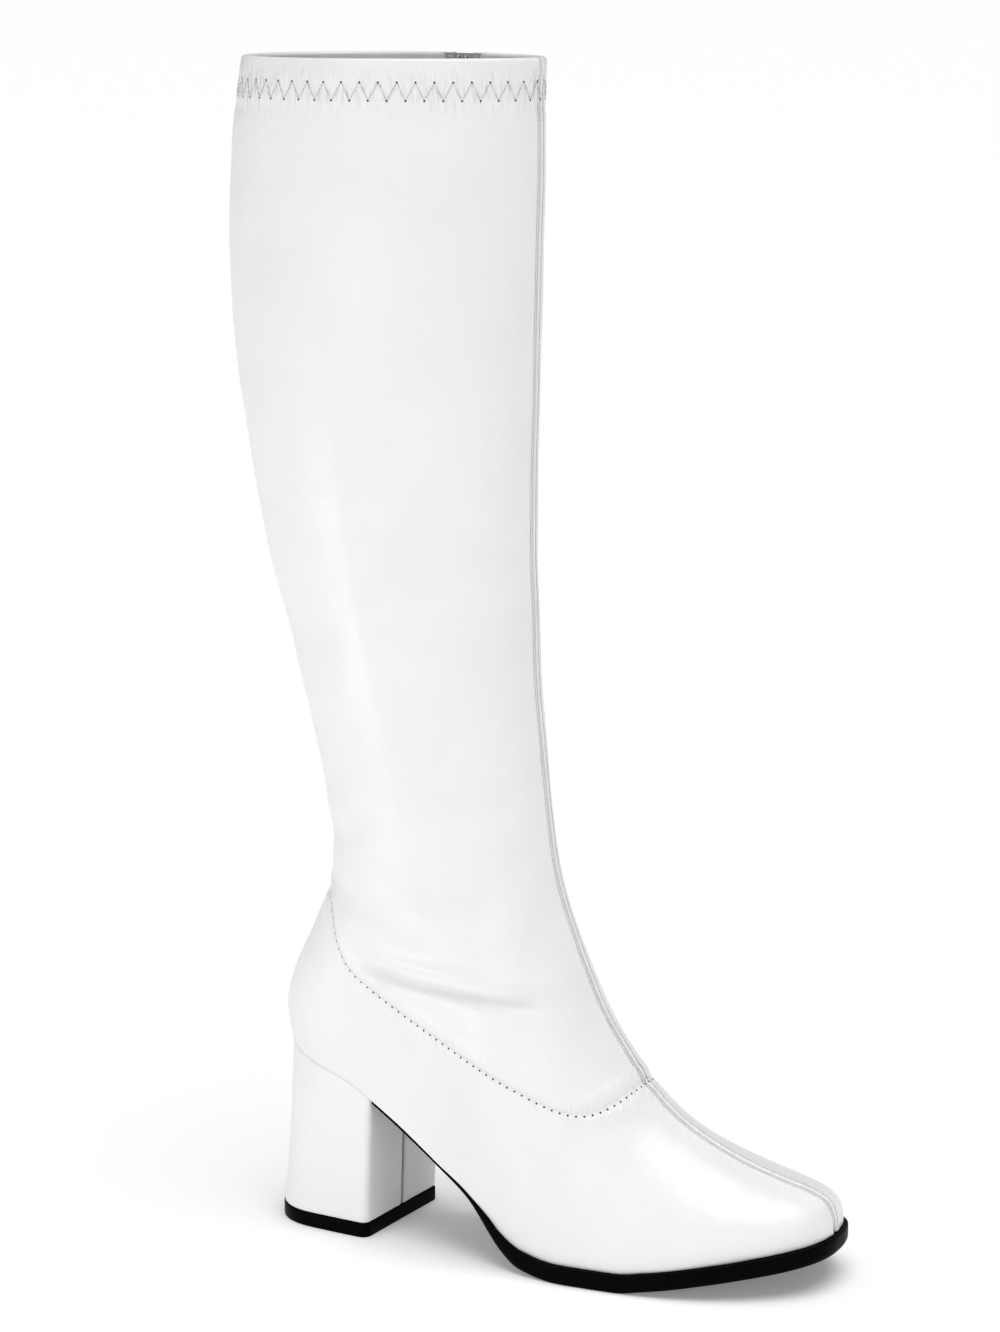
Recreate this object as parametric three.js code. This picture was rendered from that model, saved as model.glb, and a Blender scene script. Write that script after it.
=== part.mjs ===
// A knee-high go go boot for a right foot: a block heel, a thin rubber sole and a zip on the inner side.
// Millimetres. The origin is the middle of the heel's resting face, +X runs to the toe, +Y to the inner
// side of the foot and +Z up the leg.
import * as THREE from 'three';

// Foot: length over all, how far its back stands behind the heel's middle, and its heights
const UPPER_LENGTH = 240.5;
const BACK_OVERHANG = 23.5;
const BALL_WIDTH = 85;
const HEEL_HEIGHT = 77;
const INSTEP_HEIGHT = 76;
const BACK_SEAM_HEIGHT = 69;

// Leg: its height over the seat, and its depth and width at the calf
const LEG_HEIGHT = 410;
const LEG_DEPTH = 135;
const LEG_WIDTH = 96;

// Walls: the upper, its outer skin alone over the lap, the lap, and the turned hem at the collar
const UPPER_WALL = 2.3;
const UPPER_SKIN = 0.8;
const SEAM_LAP = 7;
const SHAFT_WALL = UPPER_WALL - UPPER_SKIN;
const HEM_WALL = 3;
const HEM_DEPTH = 16;

// Outsole and insole
const FOREFOOT_SOLE = 7.5;
const WAIST_SOLE = 1.4;
const SOLE_EDGE = 2.2;
const SOLE_UNDERCUT = 0.7;
const SOLE_SHOULDER_SHARE = 0.3;
const INSOLE_THICKNESS = 2.8;
const INSOLE_PLAY = 0.5;

// Heel: its size on the floor and at the seat, its cover and its top piece
const HEEL_LENGTH = 51;
const HEEL_WIDTH = 57;
const SEAT_WIDTH = 55;
const HEEL_FLARE = 3.3;
const BREAST_SLOPE = 1.5;
const WRAP_WALL = 0.9;
const WRAP_SLIT = 0.6;
const TOP_PIECE = 6;
const TOP_PIECE_FLARE = 0.3;
const TOP_PIECE_BEVEL = 0.5;

// Zip: the slot in the wall, the tape behind it, the coils and the stop at their foot
const SLOT_WIDTH = 11;
const TAPE_WIDTH = 24;
const TAPE_THICKNESS = 0.7;
const TAPE_TOP_GAP = 1.5;
const TAPE_OVERRUN = 6;
const CHAIN_WIDTH = 5;
const CHAIN_HEIGHT = 1.5;
const STOP_LENGTH = 3;
const STOP_WIDTH = 6.5;

// Slider and its pull
const SLIDER_DROP = 5;
const SLIDER_LENGTH = 12;
const SLIDER_WIDTH = 9;
const SLIDER_PLATE = 1.6;
const BRIDGE_WIDTH = 3;
const BRIDGE_SPAN = 5;
const BRIDGE_POST = 1.3;
const BRIDGE_BAR = 1.2;
const PULL_LENGTH = 27;
const PULL_WIDTH = 7;
const PULL_WINDOW = 5.5;
const PULL_PLAY = 0.5;
const PIN_RADIUS = 0.7;

// Clearance between pieces that touch
const FIT = 0.35;

// Shape shares: how round the ends of the foot and heel are, and how the rows are spaced
const HEEL_ROUND_SHARE = 0.12;
const FOOT_ROUND_SHARE = 0.5;
const SEAT_ROUND_SHARE = 0.6;
const HEEL_POWER = 2.6;
const SEAT_POWER = 2.3;
const TOE_ROUND_SHARE = 0.25;
const TOE_POWER = 2.5;
const TUCK_SHARE = 0.3;
const LEG_MIDDLE_SHARE = 0.46;
const ANKLE_LOW_SHARE = 0.02;
const ANKLE_HIGH_SHARE = 0.24;
const TOE_ROW_POWER = 1.3;
const STEP_FADE_ROWS = 0.12;
const LAP_ROW_SHARE = 0.8;
const HALF_SLOT_SHARE = 0.04;
const SPACING_ROW = 0.4;
const SLIDER_TAPER_RATIO = 0.75;
const TAPE_REACH_SHARE = 0.92;

// Number of columns and rows of the walls, and of steps round the heel
const BACK_COLUMNS = 10;
const FRONT_COLUMNS = 16;
const FOOT_ROWS = 12;
const SLOT_FOOT = 3;
const LEG_ROWS = 18;
const FINE = 400;
const HEEL_STATIONS = 12;
const BREAST_STEPS = 3;
const HEEL_LEVELS = [0, 0.12, 0.3, 0.55, 0.8, 1];

// Foot seen from above: half widths and the middle line, as shares of the ball width
const PLAN = [
  { along: 0.00, outer: 0.335, inner: 0.335, middle: 0.020, crown: 2.2, tuck: 0.04 },
  { along: 0.205, outer: 0.340, inner: 0.335, middle: -0.020, crown: 2.1, tuck: 0.08 },
  { along: 0.324, outer: 0.368, inner: 0.330, middle: -0.023, crown: 2.0, tuck: 0.12 },
  { along: 0.424, outer: 0.425, inner: 0.350, middle: -0.015, crown: 1.8, tuck: 0.12 },
  { along: 0.523, outer: 0.485, inner: 0.400, middle: 0.000, crown: 1.6, tuck: 0.07 },
  { along: 0.602, outer: 0.518, inner: 0.445, middle: 0.018, crown: 1.45, tuck: 0.05 },
  { along: 0.672, outer: 0.517, inner: 0.475, middle: 0.034, crown: 1.4, tuck: 0.04 },
  { along: 0.742, outer: 0.503, inner: 0.490, middle: 0.047, crown: 1.5, tuck: 0.04 },
  { along: 0.821, outer: 0.475, inner: 0.490, middle: 0.064, crown: 1.8, tuck: 0.04 },
  { along: 0.901, outer: 0.435, inner: 0.480, middle: 0.083, crown: 2.2, tuck: 0.04 },
  { along: 1.00, outer: 0.400, inner: 0.470, middle: 0.106, crown: 2.5, tuck: 0.04 },
];

// Underside of the sole: rise as a share of the heel height, thickness from waist (0) to forefoot (1)
const SOLE_LINE = [
  { along: 0.000, rise: 1.000, thick: 0.00 },
  { along: 0.025, rise: 0.984, thick: 0.00 },
  { along: 0.095, rise: 0.907, thick: 0.00 },
  { along: 0.125, rise: 0.879, thick: 0.00 },
  { along: 0.185, rise: 0.798, thick: 0.00 },
  { along: 0.205, rise: 0.758, thick: 0.00 },
  { along: 0.331, rise: 0.484, thick: 0.00 },
  { along: 0.398, rise: 0.336, thick: 0.15 },
  { along: 0.447, rise: 0.164, thick: 0.77 },
  { along: 0.464, rise: 0.110, thick: 0.84 },
  { along: 0.507, rise: 0.030, thick: 1.00 },
  { along: 0.578, rise: 0.000, thick: 1.00 },
  { along: 0.687, rise: 0.000, thick: 1.00 },
  { along: 0.737, rise: 0.023, thick: 1.00 },
  { along: 0.851, rise: 0.093, thick: 1.00 },
  { along: 1.000, rise: 0.180, thick: 1.00 },
];

// Ridge of the foot from the toe tip to the seam: along the length, height as a share of the instep
const VAMP_LINE = [
  { along: 1.000, up: 0.280 },
  { along: 0.998, up: 0.370 },
  { along: 0.986, up: 0.455 },
  { along: 0.952, up: 0.507 },
  { along: 0.913, up: 0.541 },
  { along: 0.854, up: 0.602 },
  { along: 0.794, up: 0.682 },
  { along: 0.741, up: 0.777 },
  { along: 0.701, up: 0.876 },
  { along: 0.664, up: 1.000 },
];

// Front of the leg from the seam to the collar: height above the seat, and how far forward
const SHIN_LINE = [
  { up: 0.027, ahead: 0.946 },
  { up: 0.059, ahead: 0.885 },
  { up: 0.095, ahead: 0.832 },
  { up: 0.140, ahead: 0.777 },
  { up: 0.190, ahead: 0.726 },
  { up: 0.232, ahead: 0.698 },
  { up: 0.313, ahead: 0.672 },
  { up: 0.395, ahead: 0.649 },
  { up: 0.515, ahead: 0.633 },
  { up: 0.635, ahead: 0.637 },
  { up: 0.795, ahead: 0.649 },
  { up: 1.000, ahead: 0.657 },
];

// Back of the boot from the seat to the collar, behind the origin as a share of the leg's depth
const BACK_LINE = [
  { up: 0.000, behind: 0.178 },
  { up: 0.017, behind: 0.188 },
  { up: 0.035, behind: 0.195 },
  { up: 0.057, behind: 0.184 },
  { up: 0.079, behind: 0.160 },
  { up: 0.125, behind: 0.094 },
  { up: 0.170, behind: 0.041 },
  { up: 0.212, behind: 0.025 },
  { up: 0.254, behind: 0.035 },
  { up: 0.338, behind: 0.090 },
  { up: 0.420, behind: 0.152 },
  { up: 0.500, behind: 0.217 },
  { up: 0.620, behind: 0.290 },
  { up: 0.700, behind: 0.328 },
  { up: 0.823, behind: 0.348 },
  { up: 0.905, behind: 0.336 },
  { up: 1.000, behind: 0.295 },
];

// Leg's half width up the leg, as a share of its width, and how round its back and front are
const LEG_GIRTH = [
  { up: 0.000, half: 0.330, back: 2.2, front: 1.8 },
  { up: 0.100, half: 0.335, back: 2.2, front: 1.7 },
  { up: 0.210, half: 0.350, back: 2.2, front: 1.5 },
  { up: 0.400, half: 0.410, back: 2.2, front: 1.4 },
  { up: 0.600, half: 0.470, back: 2.2, front: 1.3 },
  { up: 0.800, half: 0.500, back: 2.2, front: 1.3 },
  { up: 1.000, half: 0.495, back: 2.2, front: 1.3 },
];

// Curved seam from the back to the vamp: along the foot's length, height above the seat
const SEAM_LINE = [
  { along: 0.096, up: 0.164 },
  { along: 0.117, up: 0.145 },
  { along: 0.135, up: 0.117 },
  { along: 0.161, up: 0.094 },
  { along: 0.198, up: 0.079 },
  { along: 0.273, up: 0.055 },
  { along: 0.366, up: 0.031 },
  { along: 0.457, up: 0.009 },
  { along: 0.538, up: -0.012 },
  { along: 0.583, up: -0.020 },
  { along: 0.612, up: -0.020 },
  { along: 0.640, up: -0.013 },
];

// How far the middle of the inner side lies back of halfway, from the sole to the collar
const ZIP_SHIFT = [
  { row: 0, shift: 0.18 },
  { row: 1, shift: 0.08 },
  { row: 1.3, shift: 0.05 },
  { row: 2, shift: -0.07 },
];

const HEEL_BACK = -BACK_OVERHANG;
const TOE_TIP = HEEL_BACK + UPPER_LENGTH;
const COLLAR_HEIGHT = HEEL_HEIGHT + LEG_HEIGHT;
const SEAM_ROW = 1;
const COLLAR_ROW = 2;
const OUTER = -1;
const INNER = 1;

/** Smooth curve without overshoot through two columns of a table. */
function track(table, along, out) {
  const xs = table.map((row) => row[along]);
  const ys = table.map((row) => row[out]);
  const last = xs.length - 1;
  const steps = xs.slice(1).map((x, i) => x - xs[i]);
  const slopes = steps.map((step, i) => (ys[i + 1] - ys[i]) / step);
  const tangents = xs.map((x, i) => {
    if (i === 0) return slopes[0];
    if (i === last) return slopes[last - 1];
    const before = slopes[i - 1];
    const after = slopes[i];
    if (before * after <= 0) return 0;
    const heavy = 2 * steps[i] + steps[i - 1];
    const light = steps[i] + 2 * steps[i - 1];
    return (heavy + light) / (heavy / before + light / after);
  });
  return (at) => {
    if (at <= xs[0]) return ys[0] + tangents[0] * (at - xs[0]);
    if (at >= xs[last]) return ys[last] + tangents[last] * (at - xs[last]);
    const i = xs.findIndex((x) => x > at) - 1;
    const t = (at - xs[i]) / steps[i];
    const rise = (3 - 2 * t) * t * t;
    const lead = t * (1 - t) * (1 - t) * steps[i];
    const trail = t * t * (t - 1) * steps[i];
    return ys[i] + (ys[i + 1] - ys[i]) * rise + tangents[i] * lead + tangents[i + 1] * trail;
  };
}

const mix = (from, to, share) => from + (to - from) * share;

function smoothStep(from, to, at) {
  const t = THREE.MathUtils.clamp((at - from) / (to - from), 0, 1);
  return t * t * (3 - 2 * t);
}

/** Quarter of a rounded end: 0 at its tip, 1 where the round stops. */
function roundEnd(share, power) {
  const t = THREE.MathUtils.clamp(share, 0, 1);
  return Math.pow(1 - Math.pow(1 - t, power), 1 / power);
}

const alongOf = (x) => (x - HEEL_BACK) / UPPER_LENGTH;
const xOf = (along) => HEEL_BACK + along * UPPER_LENGTH;
const upOf = (z) => (z - HEEL_HEIGHT) / LEG_HEIGHT;
const zOf = (up) => HEEL_HEIGHT + up * LEG_HEIGHT;

const soleRise = track(SOLE_LINE, 'along', 'rise');
const soleThick = track(SOLE_LINE, 'along', 'thick');
const undersideAt = (x) => HEEL_HEIGHT * soleRise(alongOf(x));
const soleThicknessAt = (x) => mix(WAIST_SOLE, FOREFOOT_SOLE, soleThick(alongOf(x)));
const feather = (x) => undersideAt(x) + soleThicknessAt(x) + FIT;

const planOuter = track(PLAN, 'along', 'outer');
const planInner = track(PLAN, 'along', 'inner');
const planMiddle = track(PLAN, 'along', 'middle');
const planCrown = track(PLAN, 'along', 'crown');
const planTuck = track(PLAN, 'along', 'tuck');
const legHalf = track(LEG_GIRTH, 'up', 'half');
const legBackRound = track(LEG_GIRTH, 'up', 'back');
const legFrontRound = track(LEG_GIRTH, 'up', 'front');
const backLine = track(BACK_LINE, 'up', 'behind');
const backX = (z) => -LEG_DEPTH * backLine(upOf(z));

/** Even polyline along a curve through the given side view points. */
function outline(points, count) {
  const corners = points.map(([x, z]) => new THREE.Vector3(x, 0, z));
  const curve = new THREE.CatmullRomCurve3(corners, false, 'centripetal');
  curve.arcLengthDivisions = 4 * count;
  return curve.getSpacedPoints(count).map((p) => ({ x: p.x, z: p.z }));
}

/** Value of one coordinate of a polyline where its other coordinate, always rising or falling, is given. */
function readLine(line, key, at, out) {
  const rising = line[line.length - 1][key] > line[0][key];
  let low = 0;
  let high = line.length - 1;
  while (high - low > 1) {
    const half = (low + high) >> 1;
    if ((line[half][key] < at) === rising) low = half;
    else high = half;
  }
  const span = line[high][key] - line[low][key];
  const share = span === 0 ? 0 : (at - line[low][key]) / span;
  return mix(line[low][out], line[high][out], share);
}

/** Point at a share of a polyline made of even steps. */
function pointOn(line, share) {
  const place = THREE.MathUtils.clamp(share, 0, 1) * (line.length - 1);
  const i = Math.min(Math.floor(place), line.length - 2);
  return {
    x: mix(line[i].x, line[i + 1].x, place - i),
    z: mix(line[i].z, line[i + 1].z, place - i),
  };
}

const vampPoints = VAMP_LINE.map((row, i) => [
  xOf(row.along),
  i === 0 ? feather(xOf(row.along)) : INSTEP_HEIGHT * row.up,
]);
const shinPoints = SHIN_LINE.map((row) => [LEG_DEPTH * row.ahead, zOf(row.up)]);
const frontLine = outline([...vampPoints, ...shinPoints], FINE);
const crossing = frontLine.findIndex((p) => p.z >= INSTEP_HEIGHT);
const vampLine = outlineBetween(frontLine, 0, crossing);
const shinLine = outlineBetween(frontLine, crossing, frontLine.length - 1);
const shinX = (z) => readLine(shinLine, 'z', z, 'x');

/** Even polyline along part of another one. */
function outlineBetween(line, first, last) {
  const path = new THREE.CurvePath();
  for (let i = first; i < last; i += 1) {
    path.add(new THREE.LineCurve3(
      new THREE.Vector3(line[i].x, 0, line[i].z),
      new THREE.Vector3(line[i + 1].x, 0, line[i + 1].z),
    ));
  }
  return path.getSpacedPoints(FINE).map((p) => ({ x: p.x, z: p.z }));
}

const ANKLE_FROM = zOf(ANKLE_LOW_SHARE);
const ANKLE_TO = zOf(ANKLE_HIGH_SHARE);

// Ridge over the foot; above the ankle it runs on straight, as the top of an imagined cone over the heel
const ridgeTop = frontLine.findIndex((p) => p.z >= ANKLE_TO);
const ridgeLine = frontLine.slice(0, ridgeTop + 1);
const ridgeSlope = (ridgeLine[ridgeTop].z - ridgeLine[ridgeTop - 1].z)
  / (ridgeLine[ridgeTop].x - ridgeLine[ridgeTop - 1].x);
const ridge = (x) => {
  const ahead = x - ridgeLine[ridgeTop].x;
  return ahead <= 0 ? ridgeLine[ridgeTop].z + ridgeSlope * ahead : readLine(ridgeLine, 'x', x, 'z');
};

/** Half width of the foot at a side view point. */
function footHalf(side, x, z) {
  const along = alongOf(x);
  const widest = BALL_WIDTH * (side === INNER ? planInner(along) : planOuter(along));
  const toe = roundEnd((1 - along) / TOE_ROUND_SHARE, TOE_POWER);
  const heel = roundEnd((x - backX(z)) / (HEEL_ROUND_SHARE * UPPER_LENGTH), SEAT_POWER);
  const bottom = feather(x);
  const height = THREE.MathUtils.clamp((z - bottom) / (ridge(x) - bottom), 0, 1);
  const crown = Math.sqrt(1 - Math.pow(height, planCrown(along)));
  const tuck = 1 - planTuck(along) * Math.pow(1 - Math.min(height / TUCK_SHARE, 1), 2);
  return widest * toe * heel * crown * tuck;
}

/** Half width of the leg at a side view point. */
function legHalfWidth(x, z) {
  const up = upOf(z);
  const back = backX(z);
  const front = shinX(z);
  const share = THREE.MathUtils.clamp((x - back) / (front - back), 0, 1);
  const behind = share < LEG_MIDDLE_SHARE;
  const reach = Math.abs(share - LEG_MIDDLE_SHARE) / (behind ? LEG_MIDDLE_SHARE : 1 - LEG_MIDDLE_SHARE);
  const power = behind ? legBackRound(up) : legFrontRound(up);
  return LEG_WIDTH * legHalf(up) * Math.sqrt(1 - Math.pow(reach, power));
}

/** Distance from the middle line to the boot's side at a side view point. */
function sideY(side, x, z) {
  const leg = smoothStep(ANKLE_FROM, ANKLE_TO, z);
  const foot = leg < 1 ? footHalf(side, x, z) : 0;
  const shank = leg > 0 ? legHalfWidth(x, z) : 0;
  return side * mix(foot, shank, leg);
}

const middleY = (x, z) => BALL_WIDTH * planMiddle(alongOf(x)) * (1 - smoothStep(ANKLE_FROM, ANKLE_TO, z));

const seamBack = { x: backX(HEEL_HEIGHT + BACK_SEAM_HEIGHT), z: HEEL_HEIGHT + BACK_SEAM_HEIGHT };
const seamFront = vampLine[vampLine.length - 1];
const seamLine = outline([
  [seamBack.x, seamBack.z],
  ...SEAM_LINE.map((row) => [xOf(row.along), zOf(row.up)]),
  [seamFront.x, seamFront.z],
], FINE);

const zipShift = track(ZIP_SHIFT, 'row', 'shift');

/** Side view point for a share from back (0) to front (1) and a row: sole 0, seam 1, collar 2. */
function sidePoint(share, row) {
  const c = share - zipShift(row) * Math.pow(Math.sin(Math.PI * share), 2);
  const leg = row > SEAM_ROW;
  const v = leg ? row - SEAM_ROW : row;
  const seam = pointOn(seamLine, c);
  const sole = { x: mix(HEEL_BACK, TOE_TIP, c), z: feather(mix(HEEL_BACK, TOE_TIP, c)) };
  const collarBack = backX(COLLAR_HEIGHT);
  const collar = { x: mix(collarBack, shinX(COLLAR_HEIGHT), c), z: COLLAR_HEIGHT };
  const low = leg ? seam : sole;
  const high = leg ? collar : seam;
  const backZ = leg ? mix(seamBack.z, COLLAR_HEIGHT, v) : mix(feather(HEEL_BACK), seamBack.z, v);
  const back = { x: backX(backZ), z: backZ };
  const front = leg ? pointOn(shinLine, v) : pointOn(vampLine, Math.pow(v, TOE_ROW_POWER));
  const lowBack = leg ? seamBack : { x: HEEL_BACK, z: feather(HEEL_BACK) };
  const lowFront = leg ? seamFront : { x: TOE_TIP, z: feather(TOE_TIP) };
  const highBack = leg ? { x: collarBack, z: COLLAR_HEIGHT } : seamBack;
  const highFront = leg ? { x: shinX(COLLAR_HEIGHT), z: COLLAR_HEIGHT } : seamFront;
  const blend = (key) =>
    mix(low[key], high[key], v) + mix(back[key], front[key], c)
    - mix(mix(lowBack[key], lowFront[key], c), mix(highBack[key], highFront[key], c), v);
  return { x: blend('x'), z: blend('z') };
}

/** Point of the boot's outside skin. */
function skinPoint(side, share, row) {
  const { x, z } = sidePoint(share, row);
  const edge = share <= 0 || share >= 1;
  const y = edge ? 0 : sideY(side, x, z);
  return new THREE.Vector3(x, middleY(x, z) + y, z);
}

/** Shares between two ends that cut a line into even lengths. */
function evenShares(pointAt, from, to, count) {
  const fine = 600;
  const lengths = [0];
  let before = pointAt(from);
  for (let i = 1; i <= fine; i += 1) {
    const point = pointAt(mix(from, to, i / fine));
    lengths.push(lengths[i - 1] + point.distanceTo(before));
    before = point;
  }
  return Array.from({ length: count + 1 }, (_, k) => {
    const target = (lengths[fine] * k) / count;
    const i = Math.max(1, lengths.findIndex((length) => length >= target - 1e-9));
    const part = (target - lengths[i - 1]) / (lengths[i] - lengths[i - 1]);
    return mix(from, to, (i - 1 + part) / fine);
  });
}

const spacingPoint = (share) => skinPoint(OUTER, share, SPACING_ROW);
const halfRing = [
  ...evenShares(spacingPoint, 0, 0.5 - HALF_SLOT_SHARE, BACK_COLUMNS),
  ...evenShares(spacingPoint, 0.5 + HALF_SLOT_SHARE, 1, FRONT_COLUMNS),
];
const HALF_COLUMNS = halfRing.length - 1;
const RING = 2 * HALF_COLUMNS;
const SLOT_CELL = RING - BACK_COLUMNS - 1;

/** Share of half a ring that half the zip's slot takes on a row. */
function slotShare(row) {
  const step = 0.01;
  const span = skinPoint(INNER, 0.5 + step, row).distanceTo(skinPoint(INNER, 0.5 - step, row));
  return (SLOT_WIDTH * step) / span;
}

/** Moves a share so that the two columns beside the zip keep the slot's width. */
function openSlot(share, row) {
  const half = slotShare(row);
  if (share <= 0.5 - HALF_SLOT_SHARE) return (share * (0.5 - half)) / (0.5 - HALF_SLOT_SHARE);
  return 1 - ((1 - share) * (0.5 - half)) / (0.5 - HALF_SLOT_SHARE);
}

/** Skin point of a column of the ring: along the outer side to the toe, then back along the inner side. */
function ringPoint(column, row) {
  const place = ((column % RING) + RING) % RING;
  const side = place <= HALF_COLUMNS ? OUTER : INNER;
  const share = halfRing[place <= HALF_COLUMNS ? place : RING - place];
  return skinPoint(side, openSlot(share, row), row);
}

/** Outward direction of the skin at a column and row. */
function ringNormal(column, row) {
  const step = 0.03;
  const round = ringPoint(column + 1, row).sub(ringPoint(column - 1, row));
  const top = ringPoint(column, Math.min(row + step, COLLAR_ROW));
  const rise = top.sub(ringPoint(column, Math.max(row - step, 0)));
  const normal = round.cross(rise);
  if (row === 0) normal.z = 0;
  return normal.normalize();
}

/** Point of the wall at a depth under the skin; along the sole it stays on the feather line. */
function wallPoint(column, row, depth) {
  const point = ringPoint(column, row).addScaledVector(ringNormal(column, row), -depth);
  if (row === 0) point.z = feather(point.x);
  return point;
}

/** Row that lies a given distance above or below another one on a column. */
function rowBeside(column, row, distance) {
  const step = 0.02 * Math.sign(distance);
  const travel = ringPoint(column, row).distanceTo(ringPoint(column, row + step));
  return row + (Math.abs(distance) * step) / travel;
}

/** Geometry from vertices and four-sided or three-sided faces. */
function facesGeometry(vertices, faces) {
  const geometry = new THREE.BufferGeometry();
  const fan = (face) => face.slice(2).map((_, k) => [face[0], face[k + 1], face[k + 2]]);
  const triangles = faces.flatMap(fan);
  const numbers = vertices.flatMap((v) => v.toArray());
  geometry.setAttribute('position', new THREE.Float32BufferAttribute(numbers, 3));
  geometry.setIndex(triangles.flat());
  geometry.computeVertexNormals();
  return geometry;
}

/**
 * Closed wall made of cells: columns along it, rows up it and layers from its outside in.
 * Only faces between a filled cell and an empty one are made.
 */
function cellWall({ columns, rows, layers, closed, filled, place }) {
  const vertices = [];
  const known = new Map();
  const faces = [];
  const wrap = (i) => (closed ? (i + columns) % columns : i);
  const full = (i, j, k) => {
    if (!closed && (i < 0 || i >= columns)) return false;
    return j >= 0 && j < rows && k >= 0 && k < layers && filled(wrap(i), j, k);
  };
  const at = (i, j, k) => {
    const key = `${wrap(i)},${j},${k}`;
    if (!known.has(key)) {
      known.set(key, vertices.length);
      vertices.push(place(wrap(i), j, k));
    }
    return known.get(key);
  };
  for (let i = 0; i < columns; i += 1) {
    for (let j = 0; j < rows; j += 1) {
      for (let k = 0; k < layers; k += 1) {
        if (!full(i, j, k)) continue;
        const [a, b, c] = [i + 1, j + 1, k + 1];
        if (!full(i, j, k - 1)) faces.push([at(i, j, k), at(a, j, k), at(a, b, k), at(i, b, k)]);
        if (!full(i, j, c)) faces.push([at(a, b, c), at(a, j, c), at(i, j, c), at(i, b, c)]);
        if (!full(i, j - 1, k)) faces.push([at(i, j, c), at(a, j, c), at(a, j, k), at(i, j, k)]);
        if (!full(i, b, k)) faces.push([at(i, b, k), at(a, b, k), at(a, b, c), at(i, b, c)]);
        if (!full(i - 1, j, k)) faces.push([at(i, j, k), at(i, b, k), at(i, b, c), at(i, j, c)]);
        if (!full(a, j, k)) faces.push([at(a, j, c), at(a, b, c), at(a, b, k), at(a, j, k)]);
      }
    }
  }
  return facesGeometry(vertices, faces);
}

/**
 * Solid through rings, each a list of stations from one end to the other with a point on either side.
 * Where the two points of an end station are one, the solid is pointed there.
 */
function ladderSolid(rings) {
  const vertices = [];
  const stations = rings[0].length;
  const index = rings.map((ring) => ring.map(([outer, inner]) => {
    const first = vertices.push(outer) - 1;
    return [first, outer.equals(inner) ? first : vertices.push(inner) - 1];
  }));
  const faces = [];
  const add = (...corners) => {
    const face = corners.filter((corner, i) => corner !== corners[(i + 1) % corners.length]);
    if (face.length > 2) faces.push(face);
  };
  const top = rings.length - 1;
  for (let s = 0; s + 1 < stations; s += 1) {
    const t = s + 1;
    add(index[0][s][1], index[0][t][1], index[0][t][0], index[0][s][0]);
    add(index[top][s][0], index[top][t][0], index[top][t][1], index[top][s][1]);
  }
  for (let r = 0; r < top; r += 1) {
    const low = index[r];
    const high = index[r + 1];
    for (let s = 0; s + 1 < stations; s += 1) {
      add(low[s][0], low[s + 1][0], high[s + 1][0], high[s][0]);
      add(low[s + 1][1], low[s][1], high[s][1], high[s + 1][1]);
    }
    const end = stations - 1;
    add(low[0][1], low[0][0], high[0][0], high[0][1]);
    add(low[end][0], low[end][1], high[end][1], high[end][0]);
  }
  return facesGeometry(vertices, faces);
}

// Finishes
const WHITE_LEATHER = { color: 0xf4f3f1, roughness: 0.38, metalness: 0 };
const BLACK_RUBBER = { color: 0x141414, roughness: 0.45, metalness: 0 };
const BOARD = { color: 0xe9e4d8, roughness: 0.8, metalness: 0 };
const HEEL_PLASTIC = { color: 0xdedad2, roughness: 0.6, metalness: 0 };
const WHITE_TAPE = { color: 0xf2f2ee, roughness: 0.9, metalness: 0 };
const ZIP_NYLON = { color: 0xf6f6f2, roughness: 0.4, metalness: 0 };
const NICKEL = { color: 0xc9cbcd, roughness: 0.25, metalness: 1 };

const boot = new THREE.Group();
boot.name = 'go_go_boot';

/** Adds a finished piece to the boot. */
function addPiece(name, geometry, finish, parent = boot) {
  const mesh = new THREE.Mesh(geometry, new THREE.MeshStandardMaterial(finish));
  mesh.name = name;
  parent.add(mesh);
}

/** Rows of the upper: the sole's edge, even steps up to the lap, the lap's foot and the seam. */
function footRow(column, j) {
  if (j > FOOT_ROWS) return SEAM_ROW;
  if (j === FOOT_ROWS) return rowBeside(column, SEAM_ROW, -SEAM_LAP);
  return (LAP_ROW_SHARE * j) / (FOOT_ROWS - 1);
}

/** Rows of the shaft above the seam: the seam, just over it, even steps, the hem's foot and the collar. */
function legRow(column, j) {
  if (j === 0) return SEAM_ROW;
  if (j === 1) return rowBeside(column, SEAM_ROW, 2 * FIT);
  if (j === LEG_ROWS + 2) return COLLAR_ROW;
  if (j === LEG_ROWS + 1) return rowBeside(column, COLLAR_ROW, -HEM_DEPTH);
  const hem = rowBeside(column, COLLAR_ROW, -HEM_DEPTH);
  return mix(SEAM_ROW, hem, (j - 1) / LEG_ROWS);
}

/** How deep the shaft's outside lies under the skin on a row. */
const shaftDepth = (row) => UPPER_SKIN * (1 - smoothStep(SEAM_ROW, SEAM_ROW + STEP_FADE_ROWS, row));

/** How deep the wall's inside lies under the skin on a row. */
const liningDepth = (row) => (row <= SEAM_ROW ? UPPER_WALL : shaftDepth(row) + SHAFT_WALL);

/** Upper: the foot part, with a thin skin alone where it laps over the shaft. */
function makeUpper() {
  return cellWall({
    columns: RING,
    rows: FOOT_ROWS + 1,
    layers: 2,
    closed: true,
    filled: (i, j, k) => !(i === SLOT_CELL && j >= SLOT_FOOT) && !(j === FOOT_ROWS && k === 1),
    place: (i, j, k) => wallPoint(i, footRow(i, j), [0, UPPER_SKIN, UPPER_WALL][k]),
  });
}

/** Point of the shaft's hidden edge under the upper, a share of the way from the lap's foot to the seam. */
function lapPoint(column, share, depth) {
  const foot = wallPoint(column, footRow(column, FOOT_ROWS), depth);
  return foot.lerp(wallPoint(column, SEAM_ROW, depth), share);
}

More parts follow.
